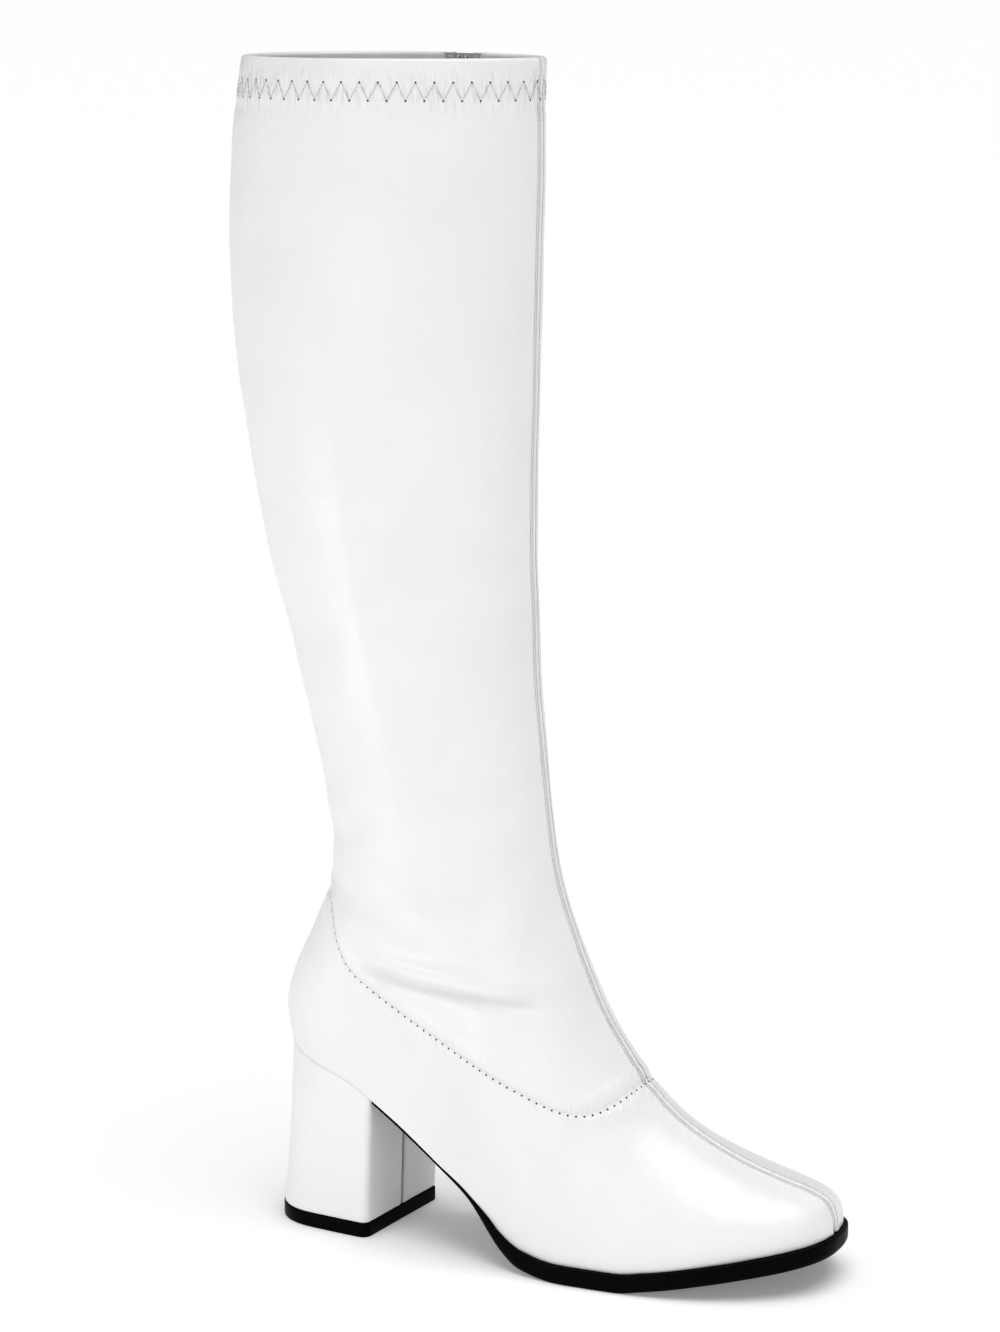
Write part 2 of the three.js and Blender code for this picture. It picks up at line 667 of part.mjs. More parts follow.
/** Shaft: the leg, tucked under the upper below, open along the zip, with a turned hem at the collar. */
function makeShaft() {
  const last = LEG_ROWS + 3;
  const besideZip = (i) => Math.abs(i - SLOT_CELL) <= 1;
  return cellWall({
    columns: RING,
    rows: last,
    layers: 2,
    closed: true,
    filled: (i, j, k) => i !== SLOT_CELL && (k === 0 || (j === last - 1 && !besideZip(i))),
    place: (i, j, k) => {
      if (j === 0) return lapPoint(i, FIT / SEAM_LAP, k ? UPPER_WALL : UPPER_SKIN + FIT);
      const row = legRow(i, j - 1);
      const outside = j === 1 ? UPPER_SKIN + FIT : shaftDepth(row);
      return wallPoint(i, row, [outside, liningDepth(row), HEM_WALL][k]);
    },
  });
}

/** Print of the foot on the feather line: pairs of points across it, from its back to the toe. */
function printRing(depthAt, heightAt, columns) {
  return columns.map((column) => [column, (RING - column) % RING].map((i) => {
    const point = wallPoint(i, 0, depthAt(ringPoint(i, 0).x));
    return point.setZ(heightAt(point.x));
  }));
}

const ALL_COLUMNS = Array.from({ length: HALF_COLUMNS + 1 }, (_, i) => i);

/** Insole: the board inside the upper's lower edge, from the back of the seat to the toe. */
function makeInsole() {
  const inside = (play) => () => UPPER_WALL + play;
  const over = (height) => (x) => feather(x) + height;
  return ladderSolid([
    printRing(inside(FIT), over(FIT), ALL_COLUMNS),
    printRing(inside(INSOLE_PLAY), over(FIT + INSOLE_THICKNESS), ALL_COLUMNS),
  ]);
}

const HEEL_TURN = Math.atan(BALL_WIDTH * (planMiddle(0) - planMiddle(alongOf(HEEL_LENGTH / 2)))
  / (HEEL_LENGTH / 2 + BACK_OVERHANG));
const BREAST_X = HEEL_LENGTH / 2;
const breastAt = (y) => BREAST_X + y * Math.tan(HEEL_TURN);

/** Outsole: from the heel's breast to the toe, proud of the upper round the forefoot. */
function makeOutsole() {
  const clear = (point) => point.x - breastAt(point.y) - BREAST_SLOPE - FIT;
  const ahead = (i) => Math.min(clear(ringPoint(i, 0)), clear(ringPoint(RING - i, 0)));
  const first = ALL_COLUMNS.findIndex((i) => ahead(i) > SOLE_EDGE);
  const columns = ALL_COLUMNS.slice(first - 1);
  const ring = (edge, heightAt) => {
    const pairs = printRing((x) => -edge * soleThick(alongOf(x)), heightAt, columns);
    pairs[0] = pairs[0].map((point, side) => {
      const [from, to] = [clear(point), clear(pairs[1][side])];
      const start = point.clone().lerp(pairs[1][side], -from / (to - from));
      return start.setZ(heightAt(start.x));
    });
    return pairs;
  };
  const side = (share) => (x) => mix(undersideAt(x), feather(x) - FIT, share);
  return ladderSolid([
    ring(SOLE_EDGE - SOLE_UNDERCUT, side(0)),
    ring(SOLE_EDGE, side(SOLE_SHOULDER_SHARE)),
    ring(SOLE_EDGE, side(1)),
  ]);
}

/**
 * Outline of the heel as pairs of points across it, from its back to the breast.
 * Share 0 is its foot and 1 the seat; the outline is drawn in by the inset.
 */
function heelRing(share, inset, heightAt) {
  const back = HEEL_BACK - HEEL_FLARE * Math.pow(1 - share, 2);
  const half = mix(HEEL_WIDTH, SEAT_WIDTH, share) / 2;
  const roundTo = mix(FOOT_ROUND_SHARE, SEAT_ROUND_SHARE, share);
  const square = mix(HEEL_POWER, SEAT_POWER, share);
  const spread = (s) => roundEnd(s / roundTo, square);
  const roundAt = (s) => new THREE.Vector3(s * HEEL_LENGTH, spread(s) * half, 0);
  const stations = evenShares(roundAt, 0, 1, HEEL_STATIONS);
  const lines = [OUTER, INNER].map((side) => stations.map((s) => {
    const y = BALL_WIDTH * planMiddle(alongOf(mix(back, BREAST_X, s))) + side * half * spread(s);
    return new THREE.Vector3(mix(back, breastAt(y) + BREAST_SLOPE * share, s), y, 0);
  }));
  const last = stations.length - 1;
  return stations.map((_, i) => lines.map((line, which) => {
    const side = which ? INNER : OUTER;
    const other = lines[1 - which];
    const here = line[i];
    const before = (i > 0 ? line[i - 1] : other[1]);
    const after = i < last ? line[i + 1] : other[last];
    const first = here.clone().sub(before).normalize();
    const second = after.clone().sub(here).normalize();
    const away = (v) => new THREE.Vector3(-v.y, v.x, 0).multiplyScalar(side);
    const corner = away(first).add(away(second)).normalize();
    const point = here.clone().addScaledVector(corner, -inset / corner.dot(away(first)));
    return point.setZ(heightAt(point.x));
  }));
}

/** Height inside the heel at a share from its foot to the seat. */
const heelHeight = (share) => (x) => mix(TOP_PIECE + FIT, feather(x) - FIT, share);

const makeHeelBlock = () => ladderSolid(
  HEEL_LEVELS.map((share) => heelRing(share, WRAP_WALL + FIT, heelHeight(share))),
);

/** Cover of the heel: one thin wall round the block, its two ends meeting in the middle of the breast. */
function makeHeelWrap() {
  const loop = (share, inset) => {
    const ring = heelRing(share, inset, heelHeight(share));
    const outer = ring.map(([point]) => point);
    const inner = ring.slice(1).map(([, point]) => point).reverse();
    const [left, right] = [outer[outer.length - 1], inner[0]];
    const slit = WRAP_SLIT / left.distanceTo(right) / 2;
    const breast = (s) => {
      const point = left.clone().lerp(right, s);
      return point.setZ(heelHeight(share)(point.x));
    };
    const steps = Array.from({ length: BREAST_STEPS }, (_, n) => n / BREAST_STEPS);
    const toLeft = steps.map((step) => breast(mix(0.5 - slit, 0, step))).reverse();
    const toRight = steps.map((step) => breast(mix(0.5 + slit, 1, step)));
    return [...toRight, ...inner, ...outer, ...toLeft];
  };
  const loops = HEEL_LEVELS.map((share) => [loop(share, 0), loop(share, WRAP_WALL)]);
  return cellWall({
    columns: loops[0][0].length - 1,
    rows: HEEL_LEVELS.length - 1,
    layers: 1,
    closed: false,
    filled: () => true,
    place: (i, j, k) => loops[j][k][i],
  });
}

/** Rubber top piece that the heel stands on. */
function makeTopPiece() {
  return ladderSolid([
    heelRing(0, TOP_PIECE_BEVEL - TOP_PIECE_FLARE, () => 0),
    heelRing(0, -TOP_PIECE_FLARE, () => TOP_PIECE_BEVEL),
    heelRing(0, -TOP_PIECE_FLARE, () => TOP_PIECE),
  ]);
}

// The zip's lines run up the wall: front neighbour, both edges of the slot, back neighbour
const ZIP_COLUMNS = [SLOT_CELL - 1, SLOT_CELL, SLOT_CELL + 1, SLOT_CELL + 2];

/** Wall point beside the zip: distance across from the zip's middle, towards the back, and depth. */
function zipPoint(rowOf, across, depthOf) {
  const half = SLOT_WIDTH / 2;
  const points = ZIP_COLUMNS.map((column) => wallPoint(column, rowOf(column), depthOf(rowOf(column))));
  const [front, frontEdge, backEdge, back] = points;
  if (Math.abs(across) <= half) return frontEdge.lerp(backEdge, (across + half) / SLOT_WIDTH);
  const [from, to] = across > 0 ? [backEdge, back] : [frontEdge, front];
  return from.clone().lerp(to, Math.min(TAPE_REACH_SHARE, (Math.abs(across) - half) / from.distanceTo(to)));
}

const ALL_ROWS = Array.from({ length: FOOT_ROWS + LEG_ROWS }, (_, n) => n);
const beside = (rowOf, distance) => (column) => rowBeside(column, rowOf(column), distance);
const slotFoot = (column) => footRow(column, SLOT_FOOT);
const collar = () => COLLAR_ROW;

// Rows along the zip, from the slot's foot to the collar's hem
const zipRows = [
  ...ALL_ROWS.slice(SLOT_FOOT, FOOT_ROWS + 1).map((n) => (column) => footRow(column, n)),
  ...ALL_ROWS.slice(0, LEG_ROWS + 2).map((n) => (column) => legRow(column, n)),
];

/** Strip along the zip between two edges across it, lying between two depths. */
function zipStrip(rows, edges, depths) {
  return cellWall({
    columns: edges.length - 1,
    rows: rows.length - 1,
    layers: 1,
    closed: false,
    filled: () => true,
    place: (i, j, k) => zipPoint(rows[j], edges[i], depths[k]),
  });
}

/** Zip tape: a strip inside the wall, wider than the slot. */
function makeTape() {
  const rows = [beside(slotFoot, -TAPE_OVERRUN), ...zipRows, beside(collar, -TAPE_TOP_GAP)];
  const half = TAPE_WIDTH / 2;
  const slot = SLOT_WIDTH / 2;
  const under = (extra) => (row) => liningDepth(row) + FIT + extra;
  return zipStrip(rows, [-half, -slot, slot, half], [under(0), under(TAPE_THICKNESS)]);
}

/** Zip chain: the closed coils that stand on the tape in the middle of the slot. */
function makeChain() {
  const foot = beside(slotFoot, STOP_LENGTH + 2 * FIT);
  const rows = [foot, ...zipRows.slice(2, -1), beside(collar, -SLIDER_DROP)];
  const half = CHAIN_WIDTH / 2;
  return zipStrip(rows, [-half, half], [(row) => liningDepth(row) - CHAIN_HEIGHT, liningDepth]);
}

/** Zip bottom stop: a clamp on the tape at the foot of the chain. */
function makeStop() {
  const rows = [beside(slotFoot, FIT), beside(slotFoot, FIT + STOP_LENGTH)];
  const half = STOP_WIDTH / 2;
  return zipStrip(rows, [-half, half], [(row) => liningDepth(row) - CHAIN_HEIGHT, liningDepth]);
}

// Frame of the slider: its middle on the chain's face, across, up and out
const sliderRow = beside(collar, -SLIDER_DROP - SLIDER_LENGTH / 2);
const chainFace = (row) => liningDepth(row) - CHAIN_HEIGHT;
const sliderAt = zipPoint(sliderRow, 0, chainFace);
const zipUp = zipPoint(beside(collar, -SLIDER_DROP), 0, chainFace)
  .sub(zipPoint(beside(collar, -SLIDER_DROP - SLIDER_LENGTH), 0, chainFace)).normalize();
const zipAcross = zipPoint(sliderRow, -1, chainFace).sub(zipPoint(sliderRow, 1, chainFace)).normalize();
const zipOut = zipUp.clone().cross(zipAcross).normalize();
const zipSide = zipOut.clone().cross(zipUp);
const sliderFrame = new THREE.Matrix4().makeBasis(zipSide, zipUp, zipOut).setPosition(sliderAt);

// Levels of the slider over the chain's face: under the plate, on it, the pin's middle, under the bar, on top
const PLATE_UNDER = FIT;
const PLATE_TOP = PLATE_UNDER + SLIDER_PLATE;
const PIN_LEVEL = PLATE_TOP + FIT + PIN_RADIUS;
const BAR_UNDER = PIN_LEVEL + PIN_RADIUS + FIT;
const BAR_TOP = BAR_UNDER + BRIDGE_BAR;

/** Slider: a plate over the chain, wider at its top, with a bridge that holds the pull's pin. */
function makeSlider() {
  const across = [-SLIDER_WIDTH / 2, -BRIDGE_WIDTH / 2, BRIDGE_WIDTH / 2, SLIDER_WIDTH / 2];
  const reach = BRIDGE_SPAN / 2;
  const post = reach + BRIDGE_POST;
  const up = [-SLIDER_LENGTH / 2, -post, -reach, reach, post, SLIDER_LENGTH / 2];
  const out = [PLATE_UNDER, PLATE_TOP, BAR_UNDER, BAR_TOP];
  const bridge = (i, j, k) => i === 1 && (k === 1 ? j === 1 || j === 3 : j >= 1 && j <= 3);
  return cellWall({
    columns: across.length - 1,
    rows: up.length - 1,
    layers: out.length - 1,
    closed: false,
    filled: (i, j, k) => k === 0 || bridge(i, j, k),
    place: (i, j, k) => {
      const edge = i === 0 || i === across.length - 1;
      const taper = edge ? mix(SLIDER_TAPER_RATIO, 1, j / (up.length - 1)) : 1;
      return new THREE.Vector3(across[i] * taper, up[j], out[k]).applyMatrix4(sliderFrame);
    },
  });
}

// Pull from its pin down: distance below the pin's middle and width
const PULL_SHAPE = [
  { down: PULL_LENGTH, wide: 0.50 * PULL_WIDTH },
  { down: 0.96 * PULL_LENGTH, wide: 0.80 * PULL_WIDTH },
  { down: 0.85 * PULL_LENGTH, wide: PULL_WIDTH },
  { down: PULL_WINDOW, wide: PULL_WIDTH },
  { down: PIN_RADIUS, wide: PULL_WIDTH },
  { down: -PIN_RADIUS, wide: PULL_WIDTH },
];

/** Pull: a plate that hangs from its pin, with a window round the slider's bridge. */
function makePull() {
  const window = (BRIDGE_WIDTH + 2 * PULL_PLAY) / 2;
  const last = PULL_SHAPE.length - 1;
  return cellWall({
    columns: 3,
    rows: last,
    layers: 1,
    closed: false,
    filled: (i, j) => !(i === 1 && j === last - 2),
    place: (i, j, k) => {
      const row = PULL_SHAPE[j];
      const half = row.wide / 2;
      const inside = Math.min(window, 0.6 * half);
      const across = [-half, -inside, inside, half][i];
      const out = PIN_LEVEL + (k ? PIN_RADIUS : -PIN_RADIUS);
      return new THREE.Vector3(across, -row.down, out).applyMatrix4(sliderFrame);
    },
  });
}

addPiece('upper', makeUpper(), WHITE_LEATHER);
addPiece('shaft', makeShaft(), WHITE_LEATHER);
addPiece('outsole', makeOutsole(), BLACK_RUBBER);
addPiece('insole', makeInsole(), BOARD);
addPiece('heel_block', makeHeelBlock(), HEEL_PLASTIC);
addPiece('heel_wrap', makeHeelWrap(), WHITE_LEATHER);
addPiece('heel_top_piece', makeTopPiece(), BLACK_RUBBER);
addPiece('zip_tape', makeTape(), WHITE_TAPE);
addPiece('zip_chain', makeChain(), ZIP_NYLON);
addPiece('zip_bottom_stop', makeStop(), NICKEL);
addPiece('zip_slider', makeSlider(), NICKEL);
addPiece('zip_pull', makePull(), NICKEL);

export default boot;
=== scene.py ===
"""Studio scene of a white knee-high go go boot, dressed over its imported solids.

Lengths are millimetres in the boot's own frame (+X to the toe, +Y to the zip side, +Z up) and become
metres when a mesh is made.
"""
import logging
import math
from dataclasses import dataclass
from enum import Enum
from typing import Callable, Sequence

import bmesh
import bpy
import numpy as np
from mathutils import Matrix, Vector


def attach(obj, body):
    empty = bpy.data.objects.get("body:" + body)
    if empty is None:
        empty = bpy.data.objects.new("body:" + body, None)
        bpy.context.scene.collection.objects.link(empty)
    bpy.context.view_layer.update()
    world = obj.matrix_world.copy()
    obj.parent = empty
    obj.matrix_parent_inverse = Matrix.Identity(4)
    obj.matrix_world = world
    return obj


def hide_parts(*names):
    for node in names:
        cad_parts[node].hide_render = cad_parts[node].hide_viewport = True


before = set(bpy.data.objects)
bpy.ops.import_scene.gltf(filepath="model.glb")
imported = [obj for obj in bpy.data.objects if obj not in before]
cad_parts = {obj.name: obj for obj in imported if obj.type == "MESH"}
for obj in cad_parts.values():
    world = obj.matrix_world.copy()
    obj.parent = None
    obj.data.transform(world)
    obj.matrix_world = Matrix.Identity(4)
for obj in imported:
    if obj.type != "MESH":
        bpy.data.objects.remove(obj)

LOG = logging.getLogger("boot")
MM = 0.001
Array = np.ndarray
# Arc places on each ring, from its length and the arcs of its front seam and of its zip
Place = Callable[[Array, Array, Array], Array]


class Side(Enum):
    """The two sides of the foot: the outer one faces the camera."""

    OUTER = -1
    INNER = 1


@dataclass(frozen=True)
class BootSizes:
    """Driving sizes of the boot, in mm.

    Heights of the seam and the leg count from the heel's seat, and all others are as named.
    """

    upper_length: float = 240.5
    back_overhang: float = 23.5
    ball_width: float = 85.0
    heel_height: float = 77.0
    instep_height: float = 76.0
    back_seam_height: float = 69.0
    leg_height: float = 410.0
    leg_depth: float = 135.0
    leg_width: float = 96.0
    upper_skin: float = 0.8
    upper_wall: float = 2.3
    hem_wall: float = 3.0
    forefoot_sole: float = 7.5
    waist_sole: float = 1.4
    sole_edge: float = 2.2
    sole_undercut: float = 0.7
    heel_length: float = 51.0
    heel_width: float = 57.0
    seat_width: float = 55.0
    heel_flare: float = 3.3
    breast_slope: float = 1.5
    top_piece: float = 6.0
    slot_width: float = 11.0
    tape_width: float = 24.0
    slider_drop: float = 5.0
    slider_length: float = 12.0
    fit: float = 0.35


# Foot from above: along the length, outer half, inner half, middle line, crown power, tuck
PLAN = (
    (0.00, 0.335, 0.335, 0.020, 2.2, 0.04),
    (0.205, 0.340, 0.335, -0.020, 2.1, 0.08),
    (0.324, 0.368, 0.330, -0.023, 2.0, 0.12),
    (0.424, 0.425, 0.350, -0.015, 1.8, 0.12),
    (0.523, 0.485, 0.400, 0.000, 1.6, 0.07),
    (0.602, 0.518, 0.445, 0.018, 1.45, 0.05),
    (0.672, 0.517, 0.475, 0.034, 1.4, 0.04),
    (0.742, 0.503, 0.490, 0.047, 1.5, 0.04),
    (0.821, 0.475, 0.490, 0.064, 1.8, 0.04),
    (0.901, 0.435, 0.480, 0.083, 2.2, 0.04),
    (1.00, 0.400, 0.470, 0.106, 2.5, 0.04),
)

# Underside of the sole: along, rise as a share of the heel height, thickness share
SOLE_LINE = (
    (0.000, 1.000, 0.00),
    (0.025, 0.984, 0.00),
    (0.095, 0.907, 0.00),
    (0.125, 0.879, 0.00),
    (0.185, 0.798, 0.00),
    (0.205, 0.758, 0.00),
    (0.331, 0.484, 0.00),
    (0.398, 0.336, 0.15),
    (0.447, 0.164, 0.77),
    (0.464, 0.110, 0.84),
    (0.507, 0.030, 1.00),
    (0.578, 0.000, 1.00),
    (0.687, 0.000, 1.00),
    (0.737, 0.023, 1.00),
    (0.851, 0.093, 1.00),
    (1.000, 0.180, 1.00),
)

# Ridge of the foot from the toe tip to the seam: along, height as a share of the instep
VAMP_LINE = (
    (1.000, 0.280),
    (0.998, 0.370),
    (0.986, 0.455),
    (0.952, 0.507),
    (0.913, 0.541),
    (0.854, 0.602),
    (0.794, 0.682),
    (0.741, 0.777),
    (0.701, 0.876),
    (0.664, 1.000),
)

# Front of the leg: height over the seat, how far forward
SHIN_LINE = (
    (0.027, 0.946),
    (0.059, 0.885),
    (0.095, 0.832),
    (0.140, 0.777),
    (0.190, 0.726),
    (0.232, 0.698),
    (0.313, 0.672),
    (0.395, 0.649),
    (0.515, 0.633),
    (0.635, 0.637),
    (0.795, 0.649),
    (1.000, 0.657),
)

# Back of the boot: height over the seat, how far behind
BACK_LINE = (
    (0.000, 0.178),
    (0.017, 0.188),
    (0.035, 0.195),
    (0.057, 0.184),
    (0.079, 0.160),
    (0.125, 0.094),
    (0.170, 0.041),
    (0.212, 0.025),
    (0.254, 0.035),
    (0.338, 0.090),
    (0.420, 0.152),
    (0.500, 0.217),
    (0.620, 0.290),
    (0.700, 0.328),
    (0.823, 0.348),
    (0.905, 0.336),
    (1.000, 0.295),
)

# Leg's half width: height over the seat, half width, roundness of the back, of the front
LEG_GIRTH = (
    (0.000, 0.330, 2.2, 1.8),
    (0.100, 0.335, 2.2, 1.7),
    (0.210, 0.350, 2.2, 1.5),
    (0.400, 0.410, 2.2, 1.4),
    (0.600, 0.470, 2.2, 1.3),
    (0.800, 0.500, 2.2, 1.3),
    (1.000, 0.495, 2.2, 1.3),
)

# Curved seam from the back to the vamp: along the foot, height over the seat
SEAM_LINE = (
    (0.096, 0.164),
    (0.117, 0.145),
    (0.135, 0.117),
    (0.161, 0.094),
    (0.198, 0.079),
    (0.273, 0.055),
    (0.366, 0.031),
    (0.457, 0.009),
    (0.538, -0.012),
    (0.583, -0.020),
    (0.612, -0.020),
    (0.640, -0.013),
)

# How far the middle of the inner side lies back of halfway, by row
ZIP_SHIFT = ((0.0, 0.18), (1.0, 0.08), (1.3, 0.05), (2.0, -0.07))

# Shares of its length over which each outline's end is rounded, and the powers of the rounds
HEEL_ROUND_SHARE = 0.12
TOE_ROUND_SHARE = 0.25
FOOT_ROUND_SHARE = 0.5
SEAT_ROUND_SHARE = 0.6
HEEL_POWER = 2.6
SEAT_POWER = 2.3
TOE_POWER = 2.5
# Share of the foot's height over which its side is drawn in, widest place of the leg, heights
# between which the foot becomes the leg, and how the rows crowd towards the toe
TUCK_SHARE = 0.3
LEG_MIDDLE_SHARE = 0.46
ANKLE_SHARES = (0.02, 0.24)
TOE_ROW_POWER = 1.3
# Rows over which the leg comes up from under the foot's edge, and the row of the zip slot's foot
STEP_FADE_ROWS = 0.12
SLOT_FOOT_ROW = 0.8 * 3 / 11
# Leather that one row spans, in mm: on the foot, above the curved seam and below the collar
FOOT_ROW = 85.0
SEAM_ROW = 340.0
LEG_ROW = 375.0
# Steps of the finest polylines
FINE = 400


def smooth_step(low: float, high: float, at: Array) -> Array:
    """Soft rise from 0 at low to 1 at high."""
    t = np.clip((np.asarray(at, float) - low) / (high - low), 0, 1)
    return t * t * (3 - 2 * t)


def bump(at: Array, half: float) -> Array:
    """Soft bell of height 1 around 0 that has died away at about twice its half width."""
    return np.exp(-((np.asarray(at, float) / half) ** 2))


def round_end(share: Array, power: float) -> Array:
    """Quarter of a rounded end: 0 at its tip, 1 where the round stops."""
    t = np.clip(share, 0, 1)
    return (1 - (1 - t) ** power) ** (1 / power)


class Track:
    """Smooth curve without overshoot through two columns of a table."""

    def __init__(self, table: Sequence[Sequence[float]], column: int) -> None:
        """Works out the tangents.

        Args:
            table: rows that start with the place along the curve.
            column: the column that is read.
        """
        self.xs = np.array([row[0] for row in table], float)
        self.ys = np.array([row[column] for row in table], float)
        steps = np.diff(self.xs)
        slopes = np.diff(self.ys) / steps
        heavy, light = 2 * steps[1:] + steps[:-1], steps[1:] + 2 * steps[:-1]
        before, after = slopes[:-1], slopes[1:]
        same = before * after > 0
        safe_before, safe_after = np.where(same, before, 1), np.where(same, after, 1)
        inner = np.where(same, (heavy + light) / (heavy / safe_before + light / safe_after), 0)
        self.tangents = np.concatenate([[slopes[0]], inner, [slopes[-1]]])
        self.steps = steps

    def __call__(self, at: Array) -> Array:
        """Value at each place, carried on straight past both ends.

        Args:
            at: places along the curve.

        Returns:
            The values there.
        """
        at = np.asarray(at, float)
        i = np.clip(np.searchsorted(self.xs, at, side="right") - 1, 0, len(self.steps) - 1)
        step = self.steps[i]
        t = np.clip((at - self.xs[i]) / step, 0, 1)
        value = (
            self.ys[i]
            + (self.ys[i + 1] - self.ys[i]) * (3 - 2 * t) * t * t
            + self.tangents[i] * t * (1 - t) ** 2 * step
            + self.tangents[i + 1] * t * t * (t - 1) * step
        )
        below = np.minimum(at - self.xs[0], 0) * self.tangents[0]
        above = np.maximum(at - self.xs[-1], 0) * self.tangents[-1]
        return value + below + above


def even_line(points: Array, count: int) -> Array:
    """Even polyline along a path of straight pieces.

    Args:
        points: the path's corners.
        count: number of steps.

    Returns:
        One more point than there are steps.
    """
    points = np.asarray(points, float)
    lengths = np.concatenate([[0], np.cumsum(np.linalg.norm(np.diff(points, axis=0), axis=1))])
    at = np.linspace(0, lengths[-1], count + 1)
    return np.stack([np.interp(at, lengths, points[:, k]) for k in range(points.shape[1])], 1)


def curve_line(corners: Sequence[Sequence[float]], count: int) -> Array:
    """Even polyline along a centripetal curve through the corners.

    Args:
        corners: points that it goes through.
        count: number of steps.

    Returns:
        One more point than there are steps.
    """
    pts = np.array(corners, float)
    ext = np.vstack([2 * pts[0] - pts[1], pts, 2 * pts[-1] - pts[-2]])
    t = np.linspace(0, len(pts) - 1, 4 * count + 1)
    i = np.minimum(t.astype(int), len(pts) - 2)
    w = (t - i)[:, None]
    p0, p1, p2, p3 = ext[i], ext[i + 1], ext[i + 2], ext[i + 3]
    d0, d1, d2 = (
        np.sqrt(np.linalg.norm(b - a, axis=1))[:, None] for a, b in ((p0, p1), (p1, p2), (p2, p3))
    )
    t1 = ((p1 - p0) / d0 - (p2 - p0) / (d0 + d1) + (p2 - p1) / d1) * d1
    t2 = ((p2 - p1) / d1 - (p3 - p1) / (d1 + d2) + (p3 - p2) / d2) * d1
    c2 = -3 * p1 + 3 * p2 - 2 * t1 - t2
    c3 = 2 * p1 - 2 * p2 + t1 + t2
    return even_line(p1 + t1 * w + c2 * w**2 + c3 * w**3, count)


